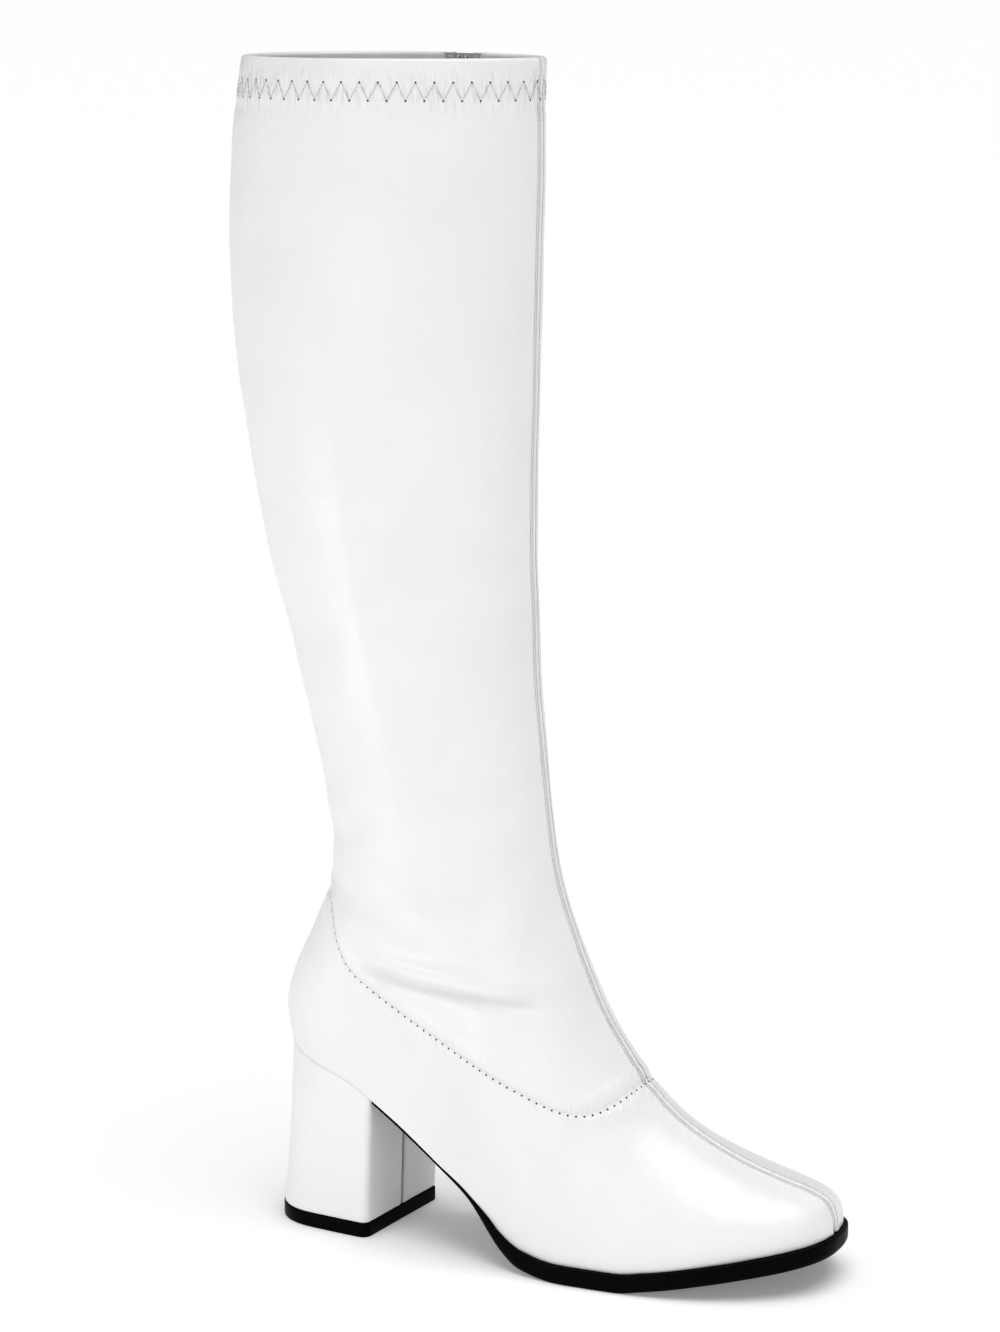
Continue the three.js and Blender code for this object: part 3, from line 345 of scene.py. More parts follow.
class BootForm:
    """The boot's outside skin as a function of side, share (back 0, front 1) and row.

    Row 0 is the sole's edge, 1 the curved seam and 2 the collar.
    """

    def __init__(self, sizes: BootSizes) -> None:
        """Prepares the curves.

        Args:
            sizes: the boot's driving sizes.
        """
        self.s = s = sizes
        self.heel_back = -s.back_overhang
        self.toe_tip = self.heel_back + s.upper_length
        self.collar = s.heel_height + s.leg_height
        self.rise, self.thick = Track(SOLE_LINE, 1), Track(SOLE_LINE, 2)
        self.plan = {
            name: Track(PLAN, i + 1) for i, name in enumerate(("outer", "inner", "middle", "crown", "tuck"))
        }
        self.leg_half, self.leg_back, self.leg_front = (Track(LEG_GIRTH, i) for i in (1, 2, 3))
        self.back_line = Track(BACK_LINE, 1)
        self.zip_shift = Track(ZIP_SHIFT, 1)
        vamp = [
            (self.x_of(a), float(self.feather(self.x_of(a))) if i == 0 else s.instep_height * up)
            for i, (a, up) in enumerate(VAMP_LINE)
        ]
        shin = [(s.leg_depth * ahead, self.z_of(up)) for up, ahead in SHIN_LINE]
        front = curve_line(vamp + shin, FINE)
        crossing = int(np.argmax(front[:, 1] >= s.instep_height))
        self.vamp, self.shin = even_line(front[: crossing + 1], FINE), even_line(front[crossing:], FINE)
        top = int(np.argmax(front[:, 1] >= self.z_of(ANKLE_SHARES[1])))
        self.ridge_line = front[: top + 1][::-1]
        across, rise = front[top] - front[top - 1]
        self.ridge_slope = rise / across
        z = s.heel_height + s.back_seam_height
        self.seam_back = np.array([float(self.back_x(z)), z])
        self.seam_front = self.vamp[-1]
        middle = [(self.x_of(a), self.z_of(up)) for a, up in SEAM_LINE]
        self.seam = curve_line([self.seam_back, *middle, self.seam_front], FINE)

    def along(self, x: Array) -> Array:
        """Share of the foot's length at x."""
        return (x - self.heel_back) / self.s.upper_length

    def x_of(self, along: float) -> float:
        """Place along the boot of a share of the foot's length."""
        return self.heel_back + along * self.s.upper_length

    def z_of(self, up: float) -> float:
        """Height of a share of the leg over the seat."""
        return self.s.heel_height + up * self.s.leg_height

    def up_of(self, z: Array) -> Array:
        """Share of the leg over the seat at a height."""
        return (z - self.s.heel_height) / self.s.leg_height

    def underside(self, x: Array) -> Array:
        """Height of the sole's underside."""
        return self.s.heel_height * self.rise(self.along(x))

    def feather(self, x: Array) -> Array:
        """Height of the edge where the upper meets the sole.

        Args:
            x: place along the boot, in mm.

        Returns:
            The heights.
        """
        share = self.thick(self.along(x))
        thickness = self.s.waist_sole + (self.s.forefoot_sole - self.s.waist_sole) * share
        return self.underside(x) + thickness + self.s.fit

    def back_x(self, z: Array) -> Array:
        """Back of the boot at a height."""
        return -self.s.leg_depth * self.back_line(self.up_of(z))

    def shin_x(self, z: Array) -> Array:
        """Front of the leg at a height."""
        return np.interp(z, self.shin[:, 1], self.shin[:, 0])

    def ridge(self, x: Array) -> Array:
        """Height of the ridge over the foot."""
        behind = np.minimum(x - self.ridge_line[0, 0], 0)
        return np.interp(x, self.ridge_line[:, 0], self.ridge_line[:, 1]) + self.ridge_slope * behind

    def foot_half(self, side: Array, x: Array, z: Array) -> Array:
        """Half width of the foot at a side view point.

        Args:
            side: -1 on the outer side and 1 on the inner one.
            x: place along the boot, in mm.
            z: height, in mm.

        Returns:
            The half widths.
        """
        a = self.along(x)
        widest = self.s.ball_width * np.where(side > 0, self.plan["inner"](a), self.plan["outer"](a))
        toe = round_end((1 - a) / TOE_ROUND_SHARE, TOE_POWER)
        heel = round_end((x - self.back_x(z)) / (HEEL_ROUND_SHARE * self.s.upper_length), SEAT_POWER)
        bottom = self.feather(x)
        height = np.clip((z - bottom) / np.maximum(self.ridge(x) - bottom, 1e-6), 0, 1)
        crown = np.sqrt(1 - height ** self.plan["crown"](a))
        tuck = 1 - self.plan["tuck"](a) * (1 - np.minimum(height / TUCK_SHARE, 1)) ** 2
        return widest * toe * heel * crown * tuck

    def leg_half_width(self, x: Array, z: Array) -> Array:
        """Half width of the leg at a side view point.

        Args:
            x: place along the boot, in mm.
            z: height, in mm.

        Returns:
            The half widths.
        """
        up = self.up_of(z)
        back, front = self.back_x(z), self.shin_x(z)
        share = np.clip((x - back) / (front - back), 0, 1)
        behind = share < LEG_MIDDLE_SHARE
        reach = np.abs(share - LEG_MIDDLE_SHARE) / np.where(behind, LEG_MIDDLE_SHARE, 1 - LEG_MIDDLE_SHARE)
        power = np.where(behind, self.leg_back(up), self.leg_front(up))
        return self.s.leg_width * self.leg_half(up) * np.sqrt(np.maximum(1 - reach**power, 0))

    def leg_share(self, z: Array) -> Array:
        """How much of the leg's form there is at a height: 0 on the foot, 1 above the ankle."""
        return smooth_step(self.z_of(ANKLE_SHARES[0]), self.z_of(ANKLE_SHARES[1]), z)

    def middle_y(self, x: Array, z: Array) -> Array:
        """Middle line of the foot from above."""
        return self.s.ball_width * self.plan["middle"](self.along(x)) * (1 - self.leg_share(z))

    def on_line(self, line: Array, share: Array) -> tuple[Array, Array]:
        """Side view point at a share of an even polyline."""
        place = np.linspace(0, 1, len(line))
        return np.interp(share, place, line[:, 0]), np.interp(share, place, line[:, 1])

    def side_point(self, share: Array, row: Array) -> tuple[Array, Array]:
        """Side view point for a share from back to front and a row.

        Args:
            share: share from the back, 0, to the front, 1.
            row: row, from 0 at the sole to 2 at the collar.

        Returns:
            Places along the boot and heights.
        """
        c = share - self.zip_shift(row) * np.sin(np.pi * share) ** 2
        leg = row > 1
        v = np.where(leg, row - 1, row)
        seam_x, seam_z = self.on_line(self.seam, c)
        sole_x = self.heel_back + c * self.s.upper_length
        collar_back, collar_front = float(self.back_x(self.collar)), float(self.shin_x(self.collar))
        collar_x = collar_back + c * (collar_front - collar_back)
        low = np.where(leg, seam_x, sole_x), np.where(leg, seam_z, self.feather(sole_x))
        high = np.where(leg, collar_x, seam_x), np.where(leg, self.collar, seam_z)
        foot_z = float(self.feather(self.heel_back))
        back_z = np.where(
            leg,
            self.seam_back[1] + v * (self.collar - self.seam_back[1]),
            foot_z + v * (self.seam_back[1] - foot_z),
        )
        vamp = self.on_line(self.vamp, np.maximum(v, 0) ** TOE_ROW_POWER)
        shin = self.on_line(self.shin, v)
        back = self.back_x(back_z), back_z
        front = np.where(leg, shin[0], vamp[0]), np.where(leg, shin[1], vamp[1])
        toe_z = float(self.feather(self.toe_tip))
        low_back = np.where(leg, self.seam_back[0], self.heel_back), np.where(leg, self.seam_back[1], foot_z)
        low_front = np.where(leg, self.seam_front[0], self.toe_tip), np.where(leg, self.seam_front[1], toe_z)
        seam_back, seam_front = self.seam_back, self.seam_front
        high_back = np.where(leg, collar_back, seam_back[0]), np.where(leg, self.collar, seam_back[1])
        high_front = np.where(leg, collar_front, seam_front[0]), np.where(leg, self.collar, seam_front[1])
        out = []
        for k in (0, 1):
            across = low[k] + (high[k] - low[k]) * v
            up = back[k] + (front[k] - back[k]) * c
            low_corner = low_back[k] + (low_front[k] - low_back[k]) * c
            high_corner = high_back[k] + (high_front[k] - high_back[k]) * c
            out.append(across + up - (low_corner + (high_corner - low_corner) * v))
        return out[0], out[1]

    def skin(self, side: Array, share: Array, row: Array) -> Array:
        """Points of the outside skin, with x, y and z last.

        Args:
            side: -1 on the outer side and 1 on the inner one.
            share: share from the back, 0, to the front, 1.
            row: row, from 0 at the sole to 2 at the collar.

        Returns:
            The points.
        """
        side, share, row = np.broadcast_arrays(side, share, row)
        x, z = self.side_point(share, row)
        leg = self.leg_share(z)
        half = self.foot_half(side, x, z) * (1 - leg) + self.leg_half_width(x, z) * leg
        half = np.where((share <= 0) | (share >= 1), 0, half)
        return np.stack([x, self.middle_y(x, z) + side * half, z], -1)


@dataclass
class Patch:
    """Points of the skin with what the relief needs to know about each.

    Attributes:
        point: places on the plain skin.
        normal: outward directions.
        row: row of each point.
        front: distance along the skin from the front seam.
        back: distance along the skin from the back seam.
        zip: distance along the skin from the zip's middle line; large on the outer side.
        side: -1 on the outer side and 1 on the inner side.
        seam: distance above the curved seam, below it where negative.
        drop: distance below the collar.
    """

    point: Array
    normal: Array
    row: Array
    front: Array
    back: Array
    zip: Array
    side: Array
    seam: Array
    drop: Array


class Skin:
    """Finds places on the boot's skin by row and by distance round the row's ring."""

    SAMPLES = 240
    FAR = 1e3

    def __init__(self, form: BootForm) -> None:
        """Keeps the form.

        Args:
            form: the boot's skin function.
        """
        self.form = form
        u = (1 - np.cos(np.pi * np.linspace(0, 1, self.SAMPLES + 1))) / 2
        self.shares = np.concatenate([u, 2 - u[::-1][1:]])
        inside = np.clip(u, 1e-3, 1 - 1e-3)
        low, high = 1.96, 2.0
        rises = [
            np.linalg.norm(form.skin(side, inside, high) - form.skin(side, inside, low), axis=1) / (high - low)
            for side in (-1, 1)
        ]
        self.collar_rise = np.stack([u, *rises])

    def level(self, side: Array, share: Array, row: Array) -> Array:
        """Lets the rows near the collar run level with it, LEG_ROW mm to the row.

        Args:
            side: -1 on the outer side and 1 on the inner one.
            share: share from the back, 0, to the front, 1.
            row: evenly spaced rows.

        Returns:
            The rows that lie level.
        """
        place, outer, inner = self.collar_rise
        rise = np.where(side < 0, np.interp(share, place, outer), np.interp(share, place, inner))
        drop = (2 - row) * LEG_ROW
        blend = smooth_step(30, 90, drop)
        return 2 - drop * ((1 - blend) / rise + blend / LEG_ROW)

    def rings(self, rows: Array) -> tuple[Array, Array, Array]:
        """Ring tables of the rows.

        Args:
            rows: row values, one per ring.

        Returns:
            The arc lengths along each ring from the back over the outer side, the arc at the front
            seam and the arc at the zip's middle line.
        """
        side = np.where(self.shares <= 1, -1.0, 1.0)
        share = np.where(self.shares <= 1, self.shares, 2 - self.shares)
        points = self.form.skin(side[None, :], share[None, :], np.asarray(rows, float)[:, None])
        steps = np.linalg.norm(np.diff(points, axis=1), axis=2)
        arcs = np.concatenate([np.zeros((len(steps), 1)), np.cumsum(steps, axis=1)], axis=1)
        front = arcs[:, self.SAMPLES]
        zip_arc = np.array([np.interp(1.5, self.shares, a) for a in arcs])
        return arcs, front, zip_arc

    def _at(self, arcs: Array, place: Array) -> tuple[Array, Array]:
        """Side and share of places given as arc lengths, ring by ring.

        Args:
            arcs: arc lengths along each ring.
            place: arc places, one row per ring.

        Returns:
            The side and the share of each.
        """
        total = arcs[:, -1:]
        place = np.mod(place, total)
        double = np.array([np.interp(p, a, self.shares) for p, a in zip(place, arcs)])
        return np.where(double <= 1, -1.0, 1.0), np.where(double <= 1, double, 2 - double)

    def patch(self, rows: Array, place: Place) -> Patch:
        """Points on the skin.

        Args:
            rows: row values, one per ring.
            place: gives the arc places of each ring from its total, front arc and zip arc, each as a column.

        Returns:
            The points with their normals and distances.
        """
        rows = np.asarray(rows, float)
        arcs, front, zip_arc = self.rings(rows)
        total = arcs[:, -1:]
        at = place(total, front[:, None], zip_arc[:, None])
        row = np.broadcast_to(rows[:, None], at.shape)
        side, share = self._at(arcs, at)
        drop = (2 - row) * LEG_ROW
        row = self.level(side, share, row)
        point = self.form.skin(side, share, row)
        reach, step = 0.9, 0.004
        ahead = self.form.skin(*self._at(arcs, at + reach), row)
        behind = self.form.skin(*self._at(arcs, at - reach), row)
        above = self.form.skin(side, share, np.minimum(row + step, 2.0))
        below = self.form.skin(side, share, np.maximum(row - step, 0.0))
        leg = row >= 1
        low, high = np.where(leg, row, row - step), np.where(leg, row + step, row)
        climb = self.form.skin(side, share, high) - self.form.skin(side, share, low)
        rise = np.linalg.norm(climb, axis=-1) / step
        normal = np.cross(ahead - behind, above - below)
        normal[row <= 0, 2] = 0
        normal /= np.linalg.norm(normal, axis=-1, keepdims=True)
        to_front = at - front[:, None]
        wrapped = np.minimum(np.mod(at, total), total - np.mod(at, total))
        to_zip = np.where(side > 0, at - zip_arc[:, None], self.FAR)
        return Patch(point, normal, row, to_front, wrapped, to_zip, side, (row - 1) * rise, drop)

    def rows_along(self, place: Place, first: float, last: float, pitch: float) -> Array:
        """Rows that stand an even pitch apart along a line up the boot.

        Args:
            place: the line.
            first: row where it starts.
            last: row where it ends.
            pitch: distance from one to the next, in mm.

        Returns:
            The rows.
        """
        rows = np.linspace(first, last, 900)
        points = self.patch(rows, place).point[:, 0]
        lengths = np.concatenate([[0], np.cumsum(np.linalg.norm(np.diff(points, axis=0), axis=1))])
        return np.interp(np.arange(0, lengths[-1], pitch), lengths, rows)


def beside_front(gap: float) -> Place:
    """Line at a distance from the front seam, towards the inner side."""
    return lambda total, front, middle: front + gap


def beside_zip(gap: Array | float) -> Place:
    """Line or lines at a distance from the zip's middle line, towards the back."""
    return lambda total, front, middle: middle + gap


def round_ring(shares: Array, shift: float = 0.0) -> Place:
    """Places at shares of a ring's length, all shifted round it by the same distance."""
    return lambda total, front, middle: shares * total + shift


def to_linear(colour: str) -> tuple[float, float, float, float]:
    """Linear colour of an sRGB hex value.

    Args:
        colour: the hex value.

    Returns:
        Red, green, blue and alpha.
    """
    values = [int(colour[i : i + 2], 16) / 255 for i in (1, 3, 5)]
    linear = [v / 12.92 if v <= 0.04045 else ((v + 0.055) / 1.055) ** 2.4 for v in values]
    return linear[0], linear[1], linear[2], 1.0


def per_metre(size_mm: float) -> float:
    """Texture scale at which one pattern step takes a real size."""
    return 1 / (size_mm * MM)


def add_node(
    tree: bpy.types.NodeTree, kind: str, inputs: dict | None = None, **settings: object
) -> bpy.types.Node:
    """Adds a node.

    Args:
        tree: the node tree.
        kind: the node's type.
        inputs: socket name or number to a value or to an output socket that is linked to it.
        settings: the node's own properties.

    Returns:
        The node.
    """
    node = tree.nodes.new(kind)
    for name, value in settings.items():
        setattr(node, name, value)
    for name, value in (inputs or {}).items():
        if isinstance(value, bpy.types.NodeSocket):
            tree.links.new(value, node.inputs[name])
        else:
            node.inputs[name].default_value = value
    return node


@dataclass(frozen=True)
class Finish:
    """What every finish has.

    Attributes:
        name: the material's name.
        colour: sRGB hex value of its body colour.
        roughness: how dull it is.
    """

    name: str
    colour: str
    roughness: float

    def start(self) -> tuple[bpy.types.Material, bpy.types.NodeTree, bpy.types.Node, bpy.types.NodeSocket]:
        """New material with its tree, shader and object coordinates.

        Returns:
            The material, its tree, its shader and the coordinates' socket.
        """
        material = bpy.data.materials.new(self.name)
        material.use_nodes = True
        material.diffuse_color = to_linear(self.colour)
        tree = material.node_tree
        shader = tree.nodes["Principled BSDF"]
        shader.inputs["Base Color"].default_value = to_linear(self.colour)
        shader.inputs["Roughness"].default_value = self.roughness
        place = add_node(tree, "ShaderNodeTexCoord").outputs["Object"]
        return material, tree, shader, place

    def vary(self, tree: bpy.types.NodeTree, shader: bpy.types.Node, noise: bpy.types.NodeSocket, darker: str,
             gloss: float) -> bpy.types.Node:
        """Lets the colour drift to a darker one and the roughness swing with a noise.

        Args:
            tree: the node tree.
            shader: the shader that is fed.
            noise: value between 0 and 1.
            darker: sRGB hex value at the noise's high end.
            gloss: how far the roughness swings either way.

        Returns:
            The node that mixes the colours.
        """
        colours = {"Factor": noise, "A": to_linear(self.colour), "B": to_linear(darker)}
        mix = add_node(tree, "ShaderNodeMix", colours, data_type="RGBA")
        tree.links.new(mix.outputs["Result"], shader.inputs["Base Color"])
        swing = add_node(
            tree,
            "ShaderNodeMapRange",
            {"Value": noise, "To Min": self.roughness - gloss, "To Max": self.roughness + gloss},
        )
        tree.links.new(swing.outputs["Result"], shader.inputs["Roughness"])
        return mix


@dataclass(frozen=True)
class CoatedLeather(Finish):
    """Polyurethane coated leather, rolled to a satin face with a fine pebble grain.

    Attributes:
        grain: width of a pebble, in mm.
        relief: height of the grain, in mm.
        groove: colour of the dust and painted shade that lie in seams, pinholes and crease troughs.
    """

    grain: float = 0.9
    relief: float = 0.025
    groove: str = "#8d8b88"

    def build(self) -> bpy.types.Material:
        """Satin white with a grain that shows close up, a slow drift in gloss, and dust with painted shade in the
        seams and crease troughs.

        Returns:
            The material.
        """
        material, tree, shader, place = self.start()
        drift = add_node(tree, "ShaderNodeTexNoise", {"Vector": place, "Scale": per_metre(38), "Detail": 3.0})
        mix = self.vary(tree, shader, drift.outputs["Fac"], "#ededeb", 0.05)
        # Dust and painted shade: the seams and the crease troughs are mixed towards the groove colour
        dust_and_painted_shade = add_node(tree, "ShaderNodeAttribute", attribute_name="dust_and_painted_shade")
        dusty_and_shaded = add_node(
            tree,
            "ShaderNodeMix",
            {"Factor": dust_and_painted_shade.outputs["Fac"], "A": mix.outputs["Result"], "B": to_linear(self.groove)},
            data_type="RGBA",
        )
        tree.links.new(dusty_and_shaded.outputs["Result"], shader.inputs["Base Color"])
        cells = add_node(
            tree,
            "ShaderNodeTexVoronoi",
            {"Vector": place, "Scale": per_metre(self.grain)},
            feature="SMOOTH_F1",
        )
        fine = add_node(tree, "ShaderNodeTexNoise", {"Vector": place, "Scale": per_metre(0.45), "Detail": 2.0})
        grain = add_node(
            tree, "ShaderNodeMath", {0: cells.outputs["Distance"], 1: fine.outputs["Fac"]}, operation="ADD"
        )
        bump = add_node(
            tree,
            "ShaderNodeBump",
            {"Height": grain.outputs[0], "Strength": 0.5, "Distance": self.relief * MM},
        )
        pull = add_node(
            tree,
            "ShaderNodeMapping",
            {"Vector": place, "Scale": (per_metre(2.4), per_metre(2.4), per_metre(9))},
        )
        ripple = add_node(tree, "ShaderNodeTexNoise", {"Vector": pull.outputs[0], "Scale": 1.0, "Detail": 1.0})
        pucker = add_node(tree, "ShaderNodeAttribute", attribute_name="pucker")
        drawn = add_node(
            tree,
            "ShaderNodeMath",
            {0: ripple.outputs["Fac"], 1: pucker.outputs["Fac"]},
            operation="MULTIPLY",
        )
        gathered = add_node(
            tree,
            "ShaderNodeBump",
            {"Height": drawn.outputs[0], "Strength": 1.0, "Distance": 2.0 * MM, "Normal": bump.outputs[0]},
        )
        slack = add_node(tree, "ShaderNodeTexNoise", {"Vector": place, "Scale": per_metre(16), "Detail": 3.0})
        soft = add_node(
            tree,
            "ShaderNodeBump",
            {
                "Height": slack.outputs["Fac"],
                "Strength": 0.6,
                "Distance": 1.6 * MM,
                "Normal": gathered.outputs[0],
            },
        )
        tree.links.new(soft.outputs[0], shader.inputs["Normal"])
        shader.inputs["IOR"].default_value = 1.5
        shader.inputs["Coat Weight"].default_value = 0.12
        shader.inputs["Coat Roughness"].default_value = 0.3
        return material


@dataclass(frozen=True)
class MouldedRubber(Finish):
    """Black styrene rubber from a polished mould: dark, a little scuffed, with a low sheen.

    Attributes:
        worn: colour of the rubbed places.
        grit: width of the moulded texture, in mm.
    """

    worn: str = "#0a0a0a"
    grit: float = 0.6

    def build(self) -> bpy.types.Material:
        """Near black with rubbed grey patches and a fine mould texture.

        Returns:
            The material.
        """
        material, tree, shader, place = self.start()
        rub = add_node(tree, "ShaderNodeTexNoise", {"Vector": place, "Scale": per_metre(9), "Detail": 6.0})
        self.vary(tree, shader, rub.outputs["Fac"], self.worn, 0.1)
        grit = add_node(
            tree, "ShaderNodeTexNoise", {"Vector": place, "Scale": per_metre(self.grit), "Detail": 3.0}
        )
        bump = add_node(
            tree, "ShaderNodeBump", {"Height": grit.outputs["Fac"], "Strength": 0.4, "Distance": 0.08 * MM}
        )
        tree.links.new(bump.outputs[0], shader.inputs["Normal"])
        shader.inputs["Specular IOR Level"].default_value = 0.015
        return material


@dataclass(frozen=True)
class SpunThread(Finish):
    """Twisted polyester sewing thread: dull, with the twist's slanting lines.

    Attributes:
        twist: length of one turn of the twist, in mm.
        shade: colour between its strands.
    """

    twist: float = 0.5
    shade: str = "#b3b1ae"

    def build(self) -> bpy.types.Material:
        """Thread colour broken up by the twist.

        Returns:
            The material.
        """
        material, tree, shader, place = self.start()
        wave = add_node(
            tree,
            "ShaderNodeTexWave",
            {"Vector": place, "Scale": per_metre(self.twist) / 6.3, "Distortion": 2.0},
            bands_direction="DIAGONAL",
        )
        self.vary(tree, shader, wave.outputs["Fac"], self.shade, 0.05)
        bump = add_node(
            tree, "ShaderNodeBump", {"Height": wave.outputs["Fac"], "Strength": 0.5, "Distance": 0.05 * MM}
        )
        tree.links.new(bump.outputs[0], shader.inputs["Normal"])
        return material


@dataclass(frozen=True)
class WovenCloth(Finish):
    """Plain woven polyester, as on a zip tape or a lining: matt, with crossing yarns.

    Attributes:
        yarn: distance from yarn to yarn, in mm, drawn about twice as coarse as real so that it shows.
        shade: colour between the yarns.
    """

    yarn: float = 0.8
    shade: str = "#c4c3c0"

    def build(self) -> bpy.types.Material:
        """Crossing bands give both the colour between the yarns and their height.

        Returns:
            The material.
        """
        material, tree, shader, place = self.start()
        waves = [
            add_node(tree, "ShaderNodeTexWave", {"Vector": place, "Scale": per_metre(self.yarn) / 6.3,
                                                 "Distortion": 0.6}, bands_direction=way)
            for way in ("DIAGONAL", "Z")
        ]
        weave = add_node(
            tree,
            "ShaderNodeMath",
            {0: waves[0].outputs["Fac"], 1: waves[1].outputs["Fac"]},
            operation="MULTIPLY",
        )
        gap = add_node(tree, "ShaderNodeMath", {0: 1.0, 1: weave.outputs[0]}, operation="SUBTRACT")
        self.vary(tree, shader, gap.outputs[0], self.shade, 0.04)
        bump = add_node(
            tree, "ShaderNodeBump", {"Height": weave.outputs[0], "Strength": 0.6, "Distance": 0.12 * MM}
        )
        tree.links.new(bump.outputs[0], shader.inputs["Normal"])
        shader.inputs["Sheen Weight"].default_value = 0.2
        return material


@dataclass(frozen=True)
class Plated(Finish):
    """Nickel plated zinc casting, tumbled smooth: bright, with fine rub marks."""

    def build(self) -> bpy.types.Material:
        """Bright metal whose gloss is broken by long fine scratches.

        Returns:
            The material.
        """
        material, tree, shader, place = self.start()
        shader.inputs["Metallic"].default_value = 1.0
        long = add_node(
            tree,
            "ShaderNodeMapping",
            {"Vector": place, "Scale": (per_metre(0.25), per_metre(0.25), per_metre(4))},
        )
        rub = add_node(tree, "ShaderNodeTexNoise", {"Vector": long.outputs[0], "Scale": 1.0, "Detail": 3.0})
        self.vary(tree, shader, rub.outputs["Fac"], "#a9aaab", 0.08)
        return material


@dataclass(frozen=True)
class Pressed(Finish):
    """Pressed or moulded stock, such as shank board or heel plastic: dull and slightly mottled.

    Attributes:
        fleck: size of the mottling, in mm.
        darker: colour of the flecks.
    """

    fleck: float = 1.5
    darker: str = "#cfc8ba"

    def build(self) -> bpy.types.Material:
        """Mottled colour with a faint tooth.

        Returns:
            The material.
        """
        material, tree, shader, place = self.start()
        flecks = add_node(
            tree, "ShaderNodeTexNoise", {"Vector": place, "Scale": per_metre(self.fleck), "Detail": 5.0}
        )
        self.vary(tree, shader, flecks.outputs["Fac"], self.darker, 0.06)
        bump = add_node(
            tree, "ShaderNodeBump", {"Height": flecks.outputs["Fac"], "Strength": 0.4, "Distance": 0.1 * MM}
        )
        tree.links.new(bump.outputs[0], shader.inputs["Normal"])
        return material


@dataclass(frozen=True)
class LitPaper(Pressed):
    """Seamless studio paper, lit from below a little so that it burns out to white.

    Attributes:
        glow: strength of the light that it adds.
    """

    glow: float = 0.2

    def build(self) -> bpy.types.Material:
        """Pale paper with its tooth and an even glow.

        Returns:
            The material.
        """
        material = super().build()
        shader = material.node_tree.nodes["Principled BSDF"]
        shader.inputs["Emission Color"].default_value = to_linear(self.colour)
        shader.inputs["Emission Strength"].default_value = self.glow
        return material


LEATHER = CoatedLeather("white_coated_leather", "#f6f6f5", 0.36)
HEEL_LEATHER = CoatedLeather("heel_cover_coated_leather", "#f6f6f5", 0.34, relief=0.02)
RUBBER = MouldedRubber("black_moulded_rubber", "#030303", 0.34)
THREAD = SpunThread("grey_white_sewing_thread", "#c9c8c6", 0.7)
FINE_THREAD = SpunThread("white_collar_thread", "#e2e1df", 0.7)
# Painted shade: the needle holes are low dark discs whose colour stands for the shade inside them
PINHOLE_SHADE = Pressed("needle_hole_painted_shade", "#2e2c2a", 0.9, 0.3, "#1c1b1a")
TAPE_CLOTH = WovenCloth("woven_zip_tape", "#efeeea", 0.85)
LINING_CLOTH = WovenCloth("woven_lining", "#dedcd7", 0.8, 1.0, "#a9a6a0")
NYLON = Pressed("extruded_nylon_coil", "#f1f0ec", 0.35, 2.0, "#dddbd4")
NICKEL = Plated("tumbled_nickel_plate", "#c9cbcd", 0.24)
BOARD = Pressed("pressed_insole_board", "#e5ddcb", 0.85, 1.2, "#cdbf9f")
HEEL_PLASTIC = Pressed("moulded_heel_plastic", "#dedad2", 0.55, 6.0, "#cbc6bc")
SOCK = CoatedLeather("sock_lining_leather", "#efede8", 0.5, relief=0.03)
LIT_PAPER = LitPaper("lit_seamless_paper", "#f6f6f6", 0.9, 3.0, "#f2f2f2")


def finish_mesh(name: str, bm: bmesh.types.BMesh, finish: Finish, crease: float = 180.0,
                recalculate: bool = False) -> bpy.types.Object:
    """Makes an object of a bmesh and shades it smooth.

    Args:
        name: the object's name.
        bm: its shape, in metres; freed here.
        finish: the finish it gets.
        crease: edges that turn by more than this many degrees stay sharp.
        recalculate: turns the faces of a closed shape outwards first.

    Returns:
        The object, linked to the scene.
    """
    if recalculate:
        bmesh.ops.recalc_face_normals(bm, faces=bm.faces)
    mesh = bpy.data.meshes.new(name)
    bm.to_mesh(mesh)
    bm.free()
    mesh.shade_smooth()
    if crease < 180:
        mesh.set_sharp_from_angle(angle=math.radians(crease))
    obj = bpy.data.objects.new(name, mesh)
    bpy.context.scene.collection.objects.link(obj)
    mesh.materials.append(material_of(finish))
    return obj


BUILT: dict[str, bpy.types.Material] = {}


def material_of(finish: Finish) -> bpy.types.Material:
    """Material of a finish, built once.

    Args:
        finish: the finish.

    Returns:
        Its material.
    """
    if finish.name not in BUILT:
        BUILT[finish.name] = finish.build()
    return BUILT[finish.name]


def add_sheet(bm: bmesh.types.BMesh, points: Array, keep: Array | None = None,
              marks: dict[str, Array] | None = None) -> None:
    """Adds a grid whose vertices lie on given points.

    Args:
        bm: the shape that grows.
        points: rows of points in mm; faces look along columns crossed with rows.
        keep: which cells stay, one flag per cell.
        marks: vertex attributes, by name, with a value between 0 and 1 for each point.
    """
    rows, columns = points.shape[:2]
    marks = marks or {}
    layers = {name: bm.verts.layers.float.get(name) or bm.verts.layers.float.new(name) for name in marks}
    made = bmesh.ops.create_grid(bm, x_segments=columns - 1, y_segments=rows - 1, size=1)["verts"]
    for vert, place in zip(made, (points.reshape(-1, 3) * MM).tolist()):
        vert.co = place
    for name, values in marks.items():
        layer = layers[name]
        for vert, value in zip(made, values.reshape(-1).tolist()):
            vert[layer] = value
    if keep is not None and not keep.all():
        bm.faces.ensure_lookup_table()
        first = len(bm.faces) - (rows - 1) * (columns - 1)
        gone = [bm.faces[first + int(k)] for k in np.flatnonzero(~keep.reshape(-1))]
        bmesh.ops.delete(bm, geom=gone, context="FACES")


def weld(bm: bmesh.types.BMesh, reach: float = 0.004) -> None:
    """Merges the points closer than the reach, in mm, and drops what hangs loose.

    Args:
        bm: the shape.
        reach: the distance, in mm.
    """
    bmesh.ops.remove_doubles(bm, verts=bm.verts, dist=reach * MM)
    loose = [v for v in bm.verts if not v.link_faces]
    bmesh.ops.delete(bm, geom=loose, context="VERTS")


